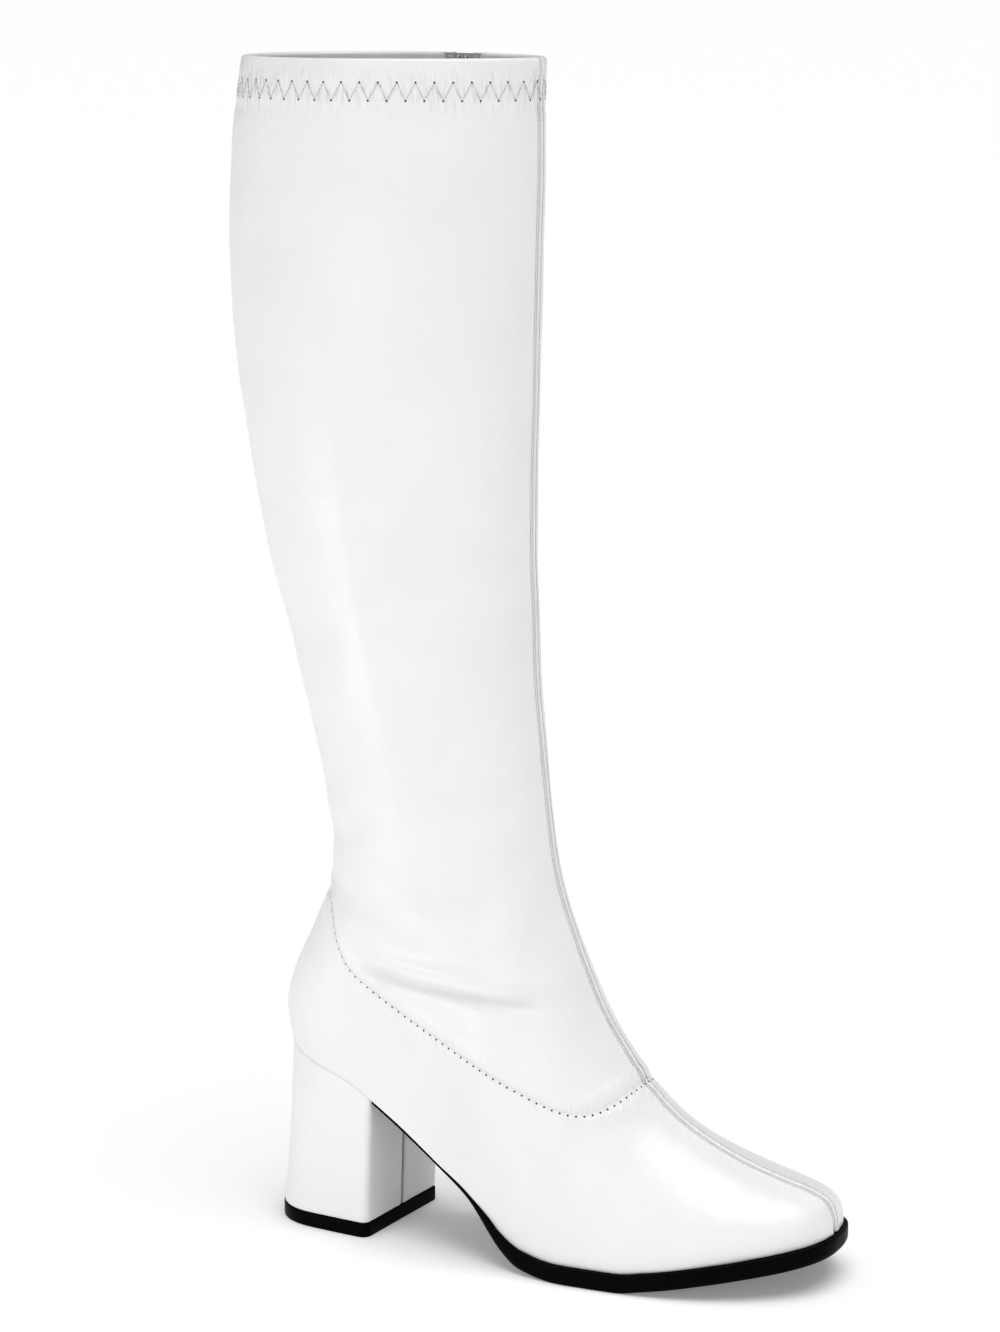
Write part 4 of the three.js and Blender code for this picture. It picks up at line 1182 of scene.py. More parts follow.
def sweep(bm: bmesh.types.BMesh, path: Array, radii: Sequence[float], sides: int) -> None:
    """Adds a round bar along a path in the plane of x and z.

    Args:
        bm: the shape that grows.
        path: its middle line.
        radii: its radius at each point of the path.
        sides: flats round it.
    """
    path = np.asarray(path, float)
    lead = np.gradient(path, axis=0)
    lead /= np.linalg.norm(lead, axis=1, keepdims=True)
    ring = bmesh.ops.create_circle(bm, cap_ends=True, segments=sides, radius=1)["verts"]
    edges = list({e for v in ring for e in v.link_edges})
    angles = [2 * math.pi * k / sides for k in range(sides)]
    for n, (centre, along, radius) in enumerate(zip(path, lead, radii)):
        if n:
            made = bmesh.ops.extrude_edge_only(bm, edges=edges)["geom"]
            new = [g for g in made if isinstance(g, bmesh.types.BMVert)]
            edges = [
                g for g in made if isinstance(g, bmesh.types.BMEdge) and all(v in new for v in g.verts)
            ]
            ring = new
        up = Vector((-along[2], 0, along[0]))
        for vert, angle in zip(ring, angles):
            vert.co = Vector(centre) + radius * (up * math.cos(angle) + Vector((0, 1, 0)) * math.sin(angle))
    bmesh.ops.contextual_create(bm, geom=edges)


def repeat(name: str, pattern: bmesh.types.BMesh, frames: Array, finish: Finish) -> bpy.types.Object:
    """Copies a small shape many times into one object.

    Args:
        name: the object's name.
        pattern: the shape in mm, freed here.
        frames: one 3 by 4 frame per copy: x, y and z axis and place as columns.
        finish: the finish it gets.

    Returns:
        The object.
    """
    bmesh.ops.recalc_face_normals(pattern, faces=pattern.faces)
    stamp = bpy.data.meshes.new("stamp")
    bm = bmesh.new()
    for rows in (frames * MM).tolist():
        copy = pattern.copy()
        copy.transform(Matrix((*rows, (0, 0, 0, 1))))
        copy.to_mesh(stamp)
        copy.free()
        bm.from_mesh(stamp)
    pattern.free()
    bpy.data.meshes.remove(stamp)
    return finish_mesh(name, bm, finish)


def unit(vectors: Array) -> Array:
    """Vectors made one long."""
    return vectors / np.linalg.norm(vectors, axis=-1, keepdims=True)


def outward(line: Array, side: int) -> Array:
    """Directions out of one half of an outline seen from above.

    Args:
        line: points of the half in the plane of the floor, from the back to the front.
        side: -1 for the outer half and 1 for the inner one.

    Returns:
        One direction per point: straight back at the first and straight ahead at the last.
    """
    lead = unit(np.gradient(line, axis=0))
    away = np.stack([-lead[:, 1], lead[:, 0]], 1) * side
    away[0], away[-1] = (-1, 0), (1, 0)
    return away


def frames_between(starts: Array, ends: Array, normals: Array) -> Array:
    """Frames whose x axis runs from start to end, with z near the normal and the place halfway.

    Args:
        starts: where each starts.
        ends: where each ends.
        normals: direction that each z axis leans to.

    Returns:
        One 3 by 4 frame per pair.
    """
    along = unit(ends - starts)
    across = unit(np.cross(normals, along))
    out = np.cross(along, across)
    return np.stack([along, across, out, (starts + ends) / 2], -1)


def place_on(obj: bpy.types.Object, slot: str, *nodes: str, body: str = "boot") -> None:
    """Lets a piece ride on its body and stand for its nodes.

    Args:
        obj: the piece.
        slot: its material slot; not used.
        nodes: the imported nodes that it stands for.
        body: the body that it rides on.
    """
    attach(obj, body)
    if nodes:
        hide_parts(*nodes)
    LOG.info("%s: %d faces", obj.name, len(obj.data.polygons))


@dataclass(frozen=True)
class Fold:
    """A soft trough pressed into the leather, with a ridge above it.

    Attributes:
        path: side view points along the trough, in mm.
        depth: depth of the trough.
        half: its half width.
        ridge: height of the ridge above it.
        side: the side of the boot that it is on, or None on both.
    """

    path: tuple[tuple[float, float], ...]
    depth: float
    half: float
    ridge: float = 0.0
    side: Side | None = None

    def offset(self, patch: Patch) -> Array:
        """How far the fold moves each point outwards, in mm.

        Args:
            patch: points of the skin.

        Returns:
            The distances.
        """
        x, z = patch.point[..., 0], patch.point[..., 2]
        path = np.array(self.path, float)
        lengths = np.concatenate([[0], np.cumsum(np.linalg.norm(np.diff(path, axis=0), axis=1))])
        best = np.full(x.shape, 1e6)
        above = np.zeros(x.shape)
        place = np.zeros(x.shape)
        for (x0, z0), (x1, z1), start, end in zip(path, path[1:], lengths, lengths[1:]):
            dx, dz = x1 - x0, z1 - z0
            t = np.clip(((x - x0) * dx + (z - z0) * dz) / (dx * dx + dz * dz), 0, 1)
            rx, rz = x - x0 - t * dx, z - z0 - t * dz
            gap = np.hypot(rx, rz)
            closer = gap < best
            best = np.where(closer, gap, best)
            above = np.where(closer, np.where(dx * rz - dz * rx > 0, 1.0, -1.0), above)
            place = np.where(closer, start + t * (end - start), place)
        share = place / lengths[-1]
        fade = smooth_step(0, 0.25, share) * smooth_step(0, 0.25, 1 - share)
        reach = best * above
        shape = -self.depth * bump(reach, self.half)
        shape = shape + self.ridge * bump(reach - 1.9 * self.half, 1.2 * self.half)
        if self.side is not None:
            shape = shape * smooth_step(-8, 8, patch.side * self.side.value * np.abs(patch.point[..., 1]))
        return shape * fade


# The creases in the order of their height: ankle outer and inner, then the slack above and below it
FOLDS = (
    Fold(
        ((14, 122), (24, 118), (43, 114.5), (64, 113.5), (84, 112.5), (97, 110.5), (112, 108.5)),
        2.2, 3.2, 1.8, Side.OUTER,
    ),
    Fold(((20, 123), (40, 120), (62, 118), (82, 114), (100, 111)), 1.0, 4.5, 0.7, Side.INNER),
    Fold(((-8, 152), (6, 149), (22, 141), (38, 134)), 0.9, 6.0, 0.7),
    Fold(((84, 150), (70, 147), (56, 148), (44, 152)), 0.9, 7.0, 0.6),
    Fold(((-12, 171), (4, 170), (22, 176), (36, 184)), 0.5, 6.5, 0.4),
    Fold(((88, 196), (76, 190), (62, 190), (50, 195)), 0.5, 8.0, 0.3),
    Fold(((-24, 262), (0, 252), (30, 250)), 0.5, 12.0, 0.3),
    Fold(((84, 300), (60, 286), (34, 284)), 0.45, 14.0, 0.2),
    Fold(((128, 68), (120, 58), (112, 46), (108, 36)), 0.5, 6.5, 0.3),
)

# Low shapes along the seams: line that the distance counts from, distance, half width, height
SEAM_SHAPES = (
    ("front", 0.0, 0.5, -0.6),
    ("front", 3.0, 1.7, 0.35),
    ("front", 2.3, 0.35, -0.12),
    ("back", 0.0, 0.45, -0.4),
    ("back", 2.4, 1.5, 0.25),
    ("seam", -0.8, 2.2, -0.75),
    ("seam", 4.4, 2.6, 0.5),
    ("drop", 13.0, 4.2, -0.35),
    ("drop", 5.0, 3.0, 0.2),
    ("drop", 20.0, 2.0, -0.3),
)


@dataclass(frozen=True)
class Relief:
    """Low shapes on the skin: seams, creases and the leather's slack.

    Attributes:
        sizes: the boot's sizes.
        row_gap: distance of the front seam's stitch rows from it.
        hem_place: distance of the zigzag's middle from the collar.
        step: how far the leg lies under the foot's edge at the curved seam.
        zip_swell: rise of the leather beside the zip.
    """

    sizes: BootSizes
    row_gap: float = 2.3
    hem_place: float = 13.0
    step: float = 0.3
    zip_swell: float = 0.3

    def offset(self, patch: Patch) -> Array:
        """How far the leather lies outside the plain skin, in mm.

        Args:
            patch: points of the skin.

        Returns:
            The distances.
        """
        distance = {"front": np.abs(patch.front), "back": patch.back, "seam": patch.seam, "drop": patch.drop}
        shape = sum(height * bump(distance[line] - place, half) for line, place, half, height in SEAM_SHAPES)
        zip_edge = np.abs(patch.zip) - self.sizes.slot_width / 2
        shape += self.zip_swell * bump(zip_edge - 2.0, 2.0) * (patch.row > SLOT_FOOT_ROW)
        return shape + self.folds(patch) + self.slack(patch)

    def folds(self, patch: Patch) -> Array:
        """The creases alone, which the lining follows too."""
        return sum((fold.offset(patch) for fold in FOLDS), np.zeros(patch.row.shape))

    def shaft_depth(self, row: Array) -> Array:
        """How deep the shaft's outside lies under the skin."""
        return self.step * (1 - smooth_step(1, 1 + STEP_FADE_ROWS, row))

    def slack(self, patch: Patch) -> Array:
        """Slow waves of leather that nothing pulls tight.

        Args:
            patch: points of the skin.

        Returns:
            How far they move each point outwards.
        """
        x, y, z = (patch.point[..., k] for k in range(3))
        waves = (
            0.22 * np.sin(z / 17 + x / 31 + 0.7) * np.sin(x / 23 - y / 19 + z / 61)
            + 0.14 * np.sin(z / 9.5 - x / 14 + y / 11 + 2.1) * np.sin(x / 12 + z / 27)
        )
        return waves * smooth_step(3, 14, np.abs(patch.seam)) * smooth_step(2, 8, patch.drop)

    def marks(self, patch: Patch) -> dict[str, Array]:
        """Dust with painted shade in the seams, painted shade in the crease troughs, and how hard their stitches
        pucker the leather, between 0 and 1.

        Args:
            patch: points of the skin.

        Returns:
            The two marks by name.
        """
        front = np.abs(patch.front)
        # Dust with painted shade along the front, back and curved seams, darkest on the curved seam near the back
        line = 0.1 + 0.35 * smooth_step(70, 25, patch.back)
        dust_and_painted_shade = 0.75 * bump(front, 0.4) + 0.45 * bump(patch.back, 0.35) + line * bump(patch.seam, 0.4)
        # Painted shade: the crease troughs are darkened to stand for their shade
        dust_and_painted_shade += 0.1 * np.clip(-self.folds(patch) / 2.4, 0, 1)
        pucker = bump(patch.drop - self.hem_place, 8.0)
        pucker += 0.5 * bump(front - 2.0, 4.0) + 0.5 * bump(patch.seam, 6.0)
        return {"dust_and_painted_shade": np.clip(dust_and_painted_shade, 0, 1), "pucker": np.clip(pucker, 0, 1)}


# Distances of the columns beside the seams and the slot's edge, and of the slot's turned-in edge
NEAR = np.array([0, 0.35, 0.8, 1.4, 2.0, 2.6, 3.3, 4.4, 5.8])
EDGE = np.array([0, 0.35, 0.8, 1.5, 2.5, 4.0])
TURN_IN = np.array([0.12, 0.22, 0.27, 0.27])
TURN_DEPTH = np.array([0.06, 0.28, 0.8, 1.6])


@dataclass
class Leathers:
    """The white leather of the foot and the leg, with its lining.

    Attributes:
        skin: finds places on the boot.
        relief: low shapes on it.
        outer_columns: even columns along the outer side.
        front_columns: even columns from the front seam to the zip.
        back_columns: even columns from the zip to the back seam.
        slot_opens: height over which the zip's slot opens at its foot.
    """

    skin: Skin
    relief: Relief
    outer_columns: int = 92
    front_columns: int = 44
    back_columns: int = 34
    slot_opens: float = 0.07

    def half_slot(self, rows: Array) -> Array:
        """Half width of the zip's slot on each row."""
        opened = np.clip((rows - SLOT_FOOT_ROW) / self.slot_opens, 0, 1)
        return self.relief.sizes.slot_width / 2 * np.sqrt(1 - (1 - opened) ** 2)

    def columns(self, rows: Array) -> tuple[Place, Array, int]:
        """Columns round the rings.

        Args:
            rows: row values, one per ring.

        Returns:
            A function that gives their places, how deep each lies, and the cell that is the slot.
        """
        half = self.half_slot(rows)[:, None]
        squeeze = np.clip(half, 0, 1)
        turned = TURN_IN[None, :] * squeeze

        def even(start: Array, end: Array, count: int) -> Array:
            """Places strictly between two others."""
            t = np.linspace(0, 1, count + 2)[None, 1:-1]
            return start + (end - start) * t

        def place(total: Array, front: Array, middle: Array) -> Array:
            """Arc places of the columns on each ring.

            Args:
                total: length of each ring.
                front: arc of its front seam.
                middle: arc of its zip.

            Returns:
                The places, one row per ring.
            """
            near, edge = NEAR[None, :], EDGE[None, :]
            return np.concatenate([
                np.broadcast_to(near, (len(total), len(NEAR))),
                even(near[:, -1:], front - near[:, -1:], self.outer_columns),
                front - near[:, ::-1],
                front + near[:, 1:],
                even(front + near[:, -1:], middle - half - edge[:, -1:], self.front_columns),
                middle - half - edge[:, ::-1],
                middle - half + turned,
                middle + half - turned[:, ::-1],
                middle + half + edge,
                even(middle + half + edge[:, -1:], total - near[:, -1:], self.back_columns),
                total - near[:, ::-1],
            ], axis=1)

        before = 3 * len(NEAR) - 1 + self.outer_columns + self.front_columns + len(EDGE)
        after = len(EDGE) + self.back_columns + len(NEAR)
        turn = squeeze * TURN_DEPTH[None, :]
        flat_before, flat_after = np.zeros((len(rows), before)), np.zeros((len(rows), after))
        depth = np.concatenate([flat_before, turn, turn[:, ::-1], flat_after], 1)
        return place, depth, before + len(TURN_IN) - 1

    def sheet(self, rows: Array, deeper: Callable[[Patch], Array], flip: bool = False,
              relief: bool = True, lower: Array | None = None) -> bmesh.types.BMesh:
        """Closed ring of leather.

        Args:
            rows: row values, one per ring.
            deeper: depth under the skin at each point.
            flip: makes the faces look inwards.
            relief: lays the low shapes on it.
            lower: how far each ring is let down.

        Returns:
            The shape.
        """
        place, turn, slot = self.columns(rows)
        patch = self.skin.patch(rows, place)
        depth = deeper(patch)
        offset = self.relief.offset(patch) if relief else self.relief.folds(patch)
        fade = np.clip(1 - (turn + depth) / 1.2, 0, 1) if relief else 1
        points = patch.point + patch.normal * (offset * fade - np.maximum(depth, turn))[..., None]
        if lower is not None:
            points[..., 2] -= lower[:, None]
        keep = np.ones((points.shape[0] - 1, points.shape[1] - 1), bool)
        keep[:, slot] = False
        bm = bmesh.new()
        add_sheet(bm, points, keep, self.relief.marks(patch) if relief else None)
        weld(bm)
        if flip:
            bmesh.ops.reverse_faces(bm, faces=bm.faces)
        return bm

    def build_upper(self) -> None:
        """Foot part, its top edge rounded over at the curved seam."""
        low = np.array([0, 0, 0.4, 1.2, 2.6]) / FOOT_ROW
        fine = np.array([5.5, 4.2, 3.2, 2.4, 1.7, 1.1, 0.6, 0.25, 0.0]) / FOOT_ROW
        middle = np.linspace(4.5 / FOOT_ROW, 1 - fine[0], 58)[:-1]
        rows = np.concatenate([low, middle, 1 - fine, [1.0, 1.0]])
        turned, lower = np.zeros(len(rows)), np.zeros(len(rows))
        turned[:3] = 3.0, 0.35, 0.08
        turned[-4:] = 0.02, 0.1, 0.45, 1.0
        lower[:3] = 0.3, 0.3, 0.15
        bm = self.sheet(rows, lambda patch: np.broadcast_to(turned[:, None], patch.row.shape), lower=lower)
        place_on(finish_mesh("upper_leather", bm, LEATHER), "leather", "upper")

    def build_shaft(self) -> None:
        """Leg, with its turned hem at the collar."""
        sizes = self.relief.sizes
        lap = np.array([5.0, 2.5, 1.0, 0.4]) / FOOT_ROW
        foot = np.array([0.0, 0.4, 0.9, 1.5, 2.2, 3.0, 3.9, 4.9, 6.0]) / SEAM_ROW
        low = np.linspace(1 + 7.2 / SEAM_ROW, 1.34, 78)
        hem = np.array([26, 22, 20.5, 19, 17.5, 16, 14.8, 13.6, 12.4, 11.2, 10, 8.8, 7.5, 6, 4.6, 3.4, 2.4])
        high = np.linspace(1.34, 2 - hem[0] / LEG_ROW, 112)[1:-1]
        round_over = np.radians(np.arange(0, 181, 15))
        wall = sizes.hem_wall
        tops = wall / 2 * (1 - np.sin(round_over))
        inside = np.array([4, 8, 12, 15.5, 16, 16.3])
        drop = np.concatenate([hem, tops, inside])
        over = wall / 2 * (1 - np.cos(round_over))
        deep = np.concatenate([np.zeros(len(hem)), over, np.full(4, wall), [wall - 0.5, 1.7]])
        rows = np.concatenate([1 - lap, 1 + foot, low, high, 2 - drop / LEG_ROW])
        turned = np.concatenate([np.zeros(len(rows) - len(drop)), deep])

        def deeper(patch: Patch) -> Array:
            """Depth under the upper, then on the skin, then over the hem.

            Args:
                patch: points of the skin.

            Returns:
                The depths.
            """
            beside = smooth_step(7, 16, np.abs(patch.zip))
            hem_depth = turned[:, None] * (0.5 + 0.5 * beside)
            under = np.where(patch.row < 1, sizes.upper_skin + 0.1, self.relief.shaft_depth(patch.row))
            return under + hem_depth

        bm = self.sheet(rows, deeper)
        place_on(finish_mesh("shaft_leather", bm, LEATHER), "leather", "shaft")

    def build_lining(self) -> None:
        """Lining of the foot and the leg, from the board up to the hem."""
        sizes = self.relief.sizes
        rows = np.concatenate([np.linspace(0.02, 0.98, 26), np.linspace(1.0, 2 - 14 / LEG_ROW, 70)])

        def deeper(patch: Patch) -> Array:
            """Depth of the wall's inside."""
            leg = smooth_step(0.97, 1.01, patch.row)
            return sizes.upper_wall * (1 - leg) + (self.relief.shaft_depth(patch.row) + 1.5) * leg

        coarse = Leathers(self.skin, self.relief, 48, 26, 20)
        bm = coarse.sheet(rows, deeper, flip=True, relief=False)
        place_on(finish_mesh("lining", bm, LINING_CLOTH), "leather")

    def build(self) -> None:
        """Builds the three."""
        self.build_upper()
        self.build_shaft()
        self.build_lining()


@dataclass
class Outsole:
    """Black rubber unit from the heel's breast to the toe.

    Attributes:
        form: the boot's form.
        stations: steps along it.
        across: steps over its width.
        tread_pitch: distance of the tread's ribs.
        tread_depth: depth of its grooves.
        border: plain edge round the tread.
    """

    form: BootForm
    stations: int = 170
    across: int = 36
    tread_pitch: float = 4.2
    tread_depth: float = 0.5
    border: float = 7.0

    def breast_x(self, y: Array, share: float) -> Array:
        """Place of the heel's breast at a share of its height."""
        return breast_line(self.form, y) + self.form.s.breast_slope * share

    def edge(self, side: Side, out: float) -> Array:
        """Side line of the sole from the breast to the toe's tip.

        Args:
            side: which side.
            out: how far it stands out of the upper where the sole is full.

        Returns:
            Points in the plane of the floor.
        """
        fine = np.linspace(0.2, 1, 900)
        points = self.form.skin(side.value, fine, 0.0)[:, :2]
        clear = points[:, 0] - self.breast_x(points[:, 1], 1.0) - self.form.s.fit
        start = float(np.interp(0, clear, fine))
        t = np.linspace(0, 1, self.stations + 1)
        shares = start + (1 - start) * (1 - (1 - t) ** 2.4) ** 0.9
        here = self.form.skin(side.value, shares, 0.0)[:, :2]
        step = 1e-4
        ahead = self.form.skin(side.value, np.minimum(shares + step, 1 - 1e-9), 0.0)[:, :2]
        behind = self.form.skin(side.value, shares - step, 0.0)[:, :2]
        lead = unit(ahead - behind)
        away = np.stack([-lead[:, 1], lead[:, 0]], 1) * side.value
        away[-1] = (1, 0)
        full = self.form.thick(self.form.along(here[:, 0]))[:, None]
        return here + away * out * full

    def ring(self, out: float, share: float) -> tuple[Array, Array]:
        """Outer and inner side line at a share of the sole's height.

        Args:
            out: how far the line stands out of the upper.
            share: 0 at the underside and 1 at the upper.

        Returns:
            Points of both lines.
        """
        lines = []
        for side in (Side.OUTER, Side.INNER):
            line = self.edge(side, out)
            x = line[:, 0]
            z = self.form.underside(x) * (1 - share) + (self.form.feather(x) - self.form.s.fit) * share
            lines.append(np.column_stack([line, z]))
        return lines[0], lines[1]

    def build(self) -> None:
        """Wall, tread, top and the end at the breast."""
        s = self.form.s
        foot, edge = s.sole_edge - s.sole_undercut, s.sole_edge
        profile = (
            (foot - 0.7, 0.0), (foot - 0.25, 0.015), (foot + 0.05, 0.06),
            (edge - 0.12, 0.2), (edge, 0.34), (edge, 0.6), (edge, 0.88),
            (edge - 0.12, 0.95), (edge - 0.4, 0.99), (edge - 0.8, 1.0), (-1.2, 1.0),
        )
        pairs = [self.ring(out, share) for out, share in profile]
        wall = np.stack([np.concatenate([a, b[::-1]]) for a, b in pairs])
        bm = bmesh.new()
        add_sheet(bm, wall)
        t = np.linspace(0, 1, self.across + 1)[:, None, None]
        for (a, b), tread in ((pairs[0], True), (pairs[-1], False)):
            points = a[None] * (1 - t) + b[None] * t
            if tread:
                points[..., 2] += self.tread(points)
            add_sheet(bm, points)
        ends = np.stack([a[0][None] * (1 - t[:, 0]) + b[0][None] * t[:, 0] for a, b in pairs])
        add_sheet(bm, ends)
        weld(bm)
        place_on(finish_mesh("outsole_rubber", bm, RUBBER, 40, True), "sole_rubber", "outsole")

    def tread(self, points: Array) -> Array:
        """Depth of the grooves on the underside.

        Args:
            points: points of the underside.

        Returns:
            How far each is raised.
        """
        x, y = points[..., 0], points[..., 1]
        a, b = points[0], points[-1]
        rim = np.minimum(np.abs(y - a[None, :, 1]), np.abs(y - b[None, :, 1]))
        ahead = self.form.toe_tip - x
        inside = smooth_step(self.border - 1, self.border + 0.5, np.minimum(rim, ahead))
        inside = inside * smooth_step(0.45, 0.5, self.form.along(x))
        waves = x + 1.6 * np.sin(y / 3.2)
        groove = smooth_step(0.25, 0.75, np.cos(2 * np.pi * waves / self.tread_pitch))
        return self.tread_depth * groove * inside


def breast_line(form: BootForm, y: Array) -> Array:
    """Foot of the heel's breast from above, square to the foot's line.

    Args:
        form: the boot's form.
        y: places across the boot, in mm.

    Returns:
        Places along the boot.
    """
    s = form.s
    middle = form.plan["middle"]
    drift = s.ball_width * float(middle(0.0) - middle(form.along(s.heel_length / 2)))
    turn = drift / (s.heel_length / 2 + s.back_overhang)
    return s.heel_length / 2 + y * turn


@dataclass
class Heel:
    """Block heel: plastic core, leather cover and rubber top piece.

    Attributes:
        form: the boot's form.
        stations: steps along each side.
        corner: rounding of the corners at the breast.
        levels: steps up the cover.
        seam_gap: half width of the join down the breast.
        seam_tuck: how far the cover turns in there.
        proud: how far the top piece stands out of the cover.
    """

    form: BootForm
    stations: int = 64
    corner: float = 3.4
    levels: int = 30
    seam_gap: float = 0.3
    seam_tuck: float = 0.9
    proud: float = 0.3

    def lines(self, share: float, inset: float) -> tuple[Array, Array]:
        """Outer and inner side line of the heel, from its back to the breast.

        Args:
            share: 0 at the heel's foot and 1 at the seat.
            inset: how far the outline is drawn in.

        Returns:
            Points in the plane of the floor.
        """
        s, form = self.form.s, self.form
        back = form.heel_back - s.heel_flare * (1 - share) ** 2
        half = (s.heel_width + (s.seat_width - s.heel_width) * share) / 2
        rounded = FOOT_ROUND_SHARE + (SEAT_ROUND_SHARE - FOOT_ROUND_SHARE) * share
        power = HEEL_POWER + (SEAT_POWER - HEEL_POWER) * share
        t = (1 - np.cos(np.pi * np.linspace(0, 1, self.stations + 1))) / 2
        t = t ** 1.3
        spread = half * round_end(t / rounded, power)
        turn = np.clip(1 - (1 - t) * s.heel_length / self.corner, 0, 1)
        spread = spread - self.corner * (1 - np.sqrt(1 - turn**2))
        out = []
        for side in (-1, 1):
            x = back + (s.heel_length / 2 - back) * t
            y = s.ball_width * form.plan["middle"](form.along(x)) + side * spread
            x = back + (breast_line(form, y) + s.breast_slope * share - back) * t
            line = np.stack([x, y], 1)
            out.append(line - outward(line, side) * inset)
        return out[0], out[1]

    def height(self, x: Array, share: float) -> Array:
        """Height inside the heel at a share from its foot to the seat.

        Args:
            x: place along the boot, in mm.
            share: 0 at the heel's foot and 1 at the seat.

        Returns:
            The heights.
        """
        s = self.form.s
        low = s.top_piece + s.fit
        return low + (self.form.feather(x) - s.fit - low) * share

    def loop(self, share: float, inset: float, breast_steps: int = 24) -> Array:
        """Closed outline that starts and ends in the middle of the breast.

        Args:
            share: 0 at the heel's foot and 1 at the seat.
            inset: how far the outline is drawn in.
            breast_steps: steps over the breast.

        Returns:
            Its points in the plane of the floor.
        """
        a, b = self.lines(share, inset)
        t = np.linspace(0, 1, breast_steps + 1)
        t = 0.5 + 0.5 * np.sign(t - 0.5) * np.abs(2 * t - 1) ** 1.6
        gap = self.seam_gap / np.linalg.norm(a[-1] - b[-1])
        right = t[t > 0.5 + gap]
        left = t[t < 0.5 - gap]

        def toward(at: Array) -> Array:
            """Points across the breast at shares from its outer corner to its inner one."""
            return a[-1] + (b[-1] - a[-1]) * at[:, None]

        first = toward(np.concatenate([[0.5 + gap], right]))
        last = toward(np.concatenate([left[1:], [0.5 - gap]]))
        return np.concatenate([first, b[-2::-1], a[1:], last])

    def build_cover(self) -> None:
        """Leather cover, turned in at the join and rounded at its rims."""
        even = np.linspace(0.04, 0.965, self.levels)
        shares = np.concatenate([[0, 0.006, 0.018], even, [0.985, 0.996, 1.0, 1.0]])
        insets = np.zeros(len(shares))
        insets[:3] = 0.5, 0.15, 0.03
        insets[-4:] = 0.02, 0.1, 0.4, 3.0
        loops, breast_join_dust_and_shade = [], []
        for share, inset in zip(shares, insets):
            flat = self.loop(float(share), float(inset))
            middle = (flat[0] + flat[-1]) / 2
            gap = np.linalg.norm(flat - middle, axis=1)
            onto_breast = flat[:, 0] > breast_line(self.form, flat[:, 1]) - 1
            roll = np.where(onto_breast, 0.45 * bump(gap - self.seam_gap, 0.8) - 0.2 * bump(gap - 2.6, 1.4), 0)
            flat = flat - np.array([[1.0, 0.0]]) * roll[:, None]
            tuck = np.array([[self.seam_tuck, 0.0]])
            flat = np.concatenate([flat[:1] - tuck, flat, flat[-1:] - tuck])
            loops.append(np.column_stack([flat, self.height(flat[:, 0], float(share))]))
            # Dust and painted shade down the join on the breast, full at the turned-in ends
            seam = np.where(onto_breast, 0.9 * bump(gap - self.seam_gap, 0.5), 0)
            breast_join_dust_and_shade.append(np.concatenate([[1.0], seam, [1.0]]))
        bm = bmesh.new()
        points = np.stack(loops)
        x, y, z = (points[..., k] for k in range(3))
        wave = 0.12 * np.sin(z / 7 + y / 9) * np.sin(z / 11 + x / 8)
        points[..., :2] += wave[..., None] * np.sign(points[..., :2])
        add_sheet(bm, points, marks={"dust_and_painted_shade": np.stack(breast_join_dust_and_shade)})
        weld(bm)
        place_on(finish_mesh("heel_cover", bm, HEEL_LEATHER), "leather", "heel_wrap")

    def build_top_piece(self) -> None:
        """Rubber top piece with eased edges and a ribbed underside."""
        s = self.form.s
        top = s.top_piece
        profile = (
            (1.0, 0.0), (0.45, 0.06), (0.12, 0.25), (0.0, 0.6),
            (0.0, 3.0), (0.0, top - 0.5), (0.1, top - 0.15), (0.45, top),
        )
        pairs = []
        for inset, z in profile:
            a, b = self.lines(0.0, inset - self.proud)
            pairs.append((np.column_stack([a, np.full(len(a), z)]), np.column_stack([b, np.full(len(b), z)])))
        bm = bmesh.new()
        t = np.linspace(0, 1, 25)[:, None, None]
        wall = np.stack([np.concatenate([a[::-1], b]) for a, b in pairs])
        add_sheet(bm, wall)
        add_sheet(bm, np.stack([a[-1] * (1 - t[:, 0]) + b[-1] * t[:, 0] for a, b in pairs]))
        for a, b in (pairs[0], pairs[-1]):
            points = a[None] * (1 - t) + b[None] * t
            if a[0, 2] == 0:
                rim = np.minimum(np.abs(points[..., 1] - a[None, :, 1]), np.abs(points[..., 1] - b[None, :, 1]))
                inner = smooth_step(4, 5.5, rim) * smooth_step(4, 6, s.heel_length / 2 - points[..., 0])
                points[..., 2] += 0.5 * inner * smooth_step(0.2, 0.7, np.cos(2 * np.pi * points[..., 0] / 4.0))
            add_sheet(bm, points)
        weld(bm)
        place_on(finish_mesh("heel_top_rubber", bm, RUBBER, 40, True), "sole_rubber", "heel_top_piece")

    def build(self) -> None:
        """Cover and top piece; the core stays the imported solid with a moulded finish."""
        self.build_cover()
        self.build_top_piece()
        dress_node("heel_block", HEEL_PLASTIC)


def dress_node(name: str, finish: Finish) -> None:
    """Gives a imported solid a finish.

    Args:
        name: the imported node.
        finish: the finish.
    """
    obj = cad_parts[name]
    obj.data.materials.clear()
    obj.data.materials.append(material_of(finish))
    LOG.info("%s: packed solid, %s", name, finish.name)


# Parts that a topstitch is divided in: the first and last are the gaps at its holes
STITCH_PARTS = 8


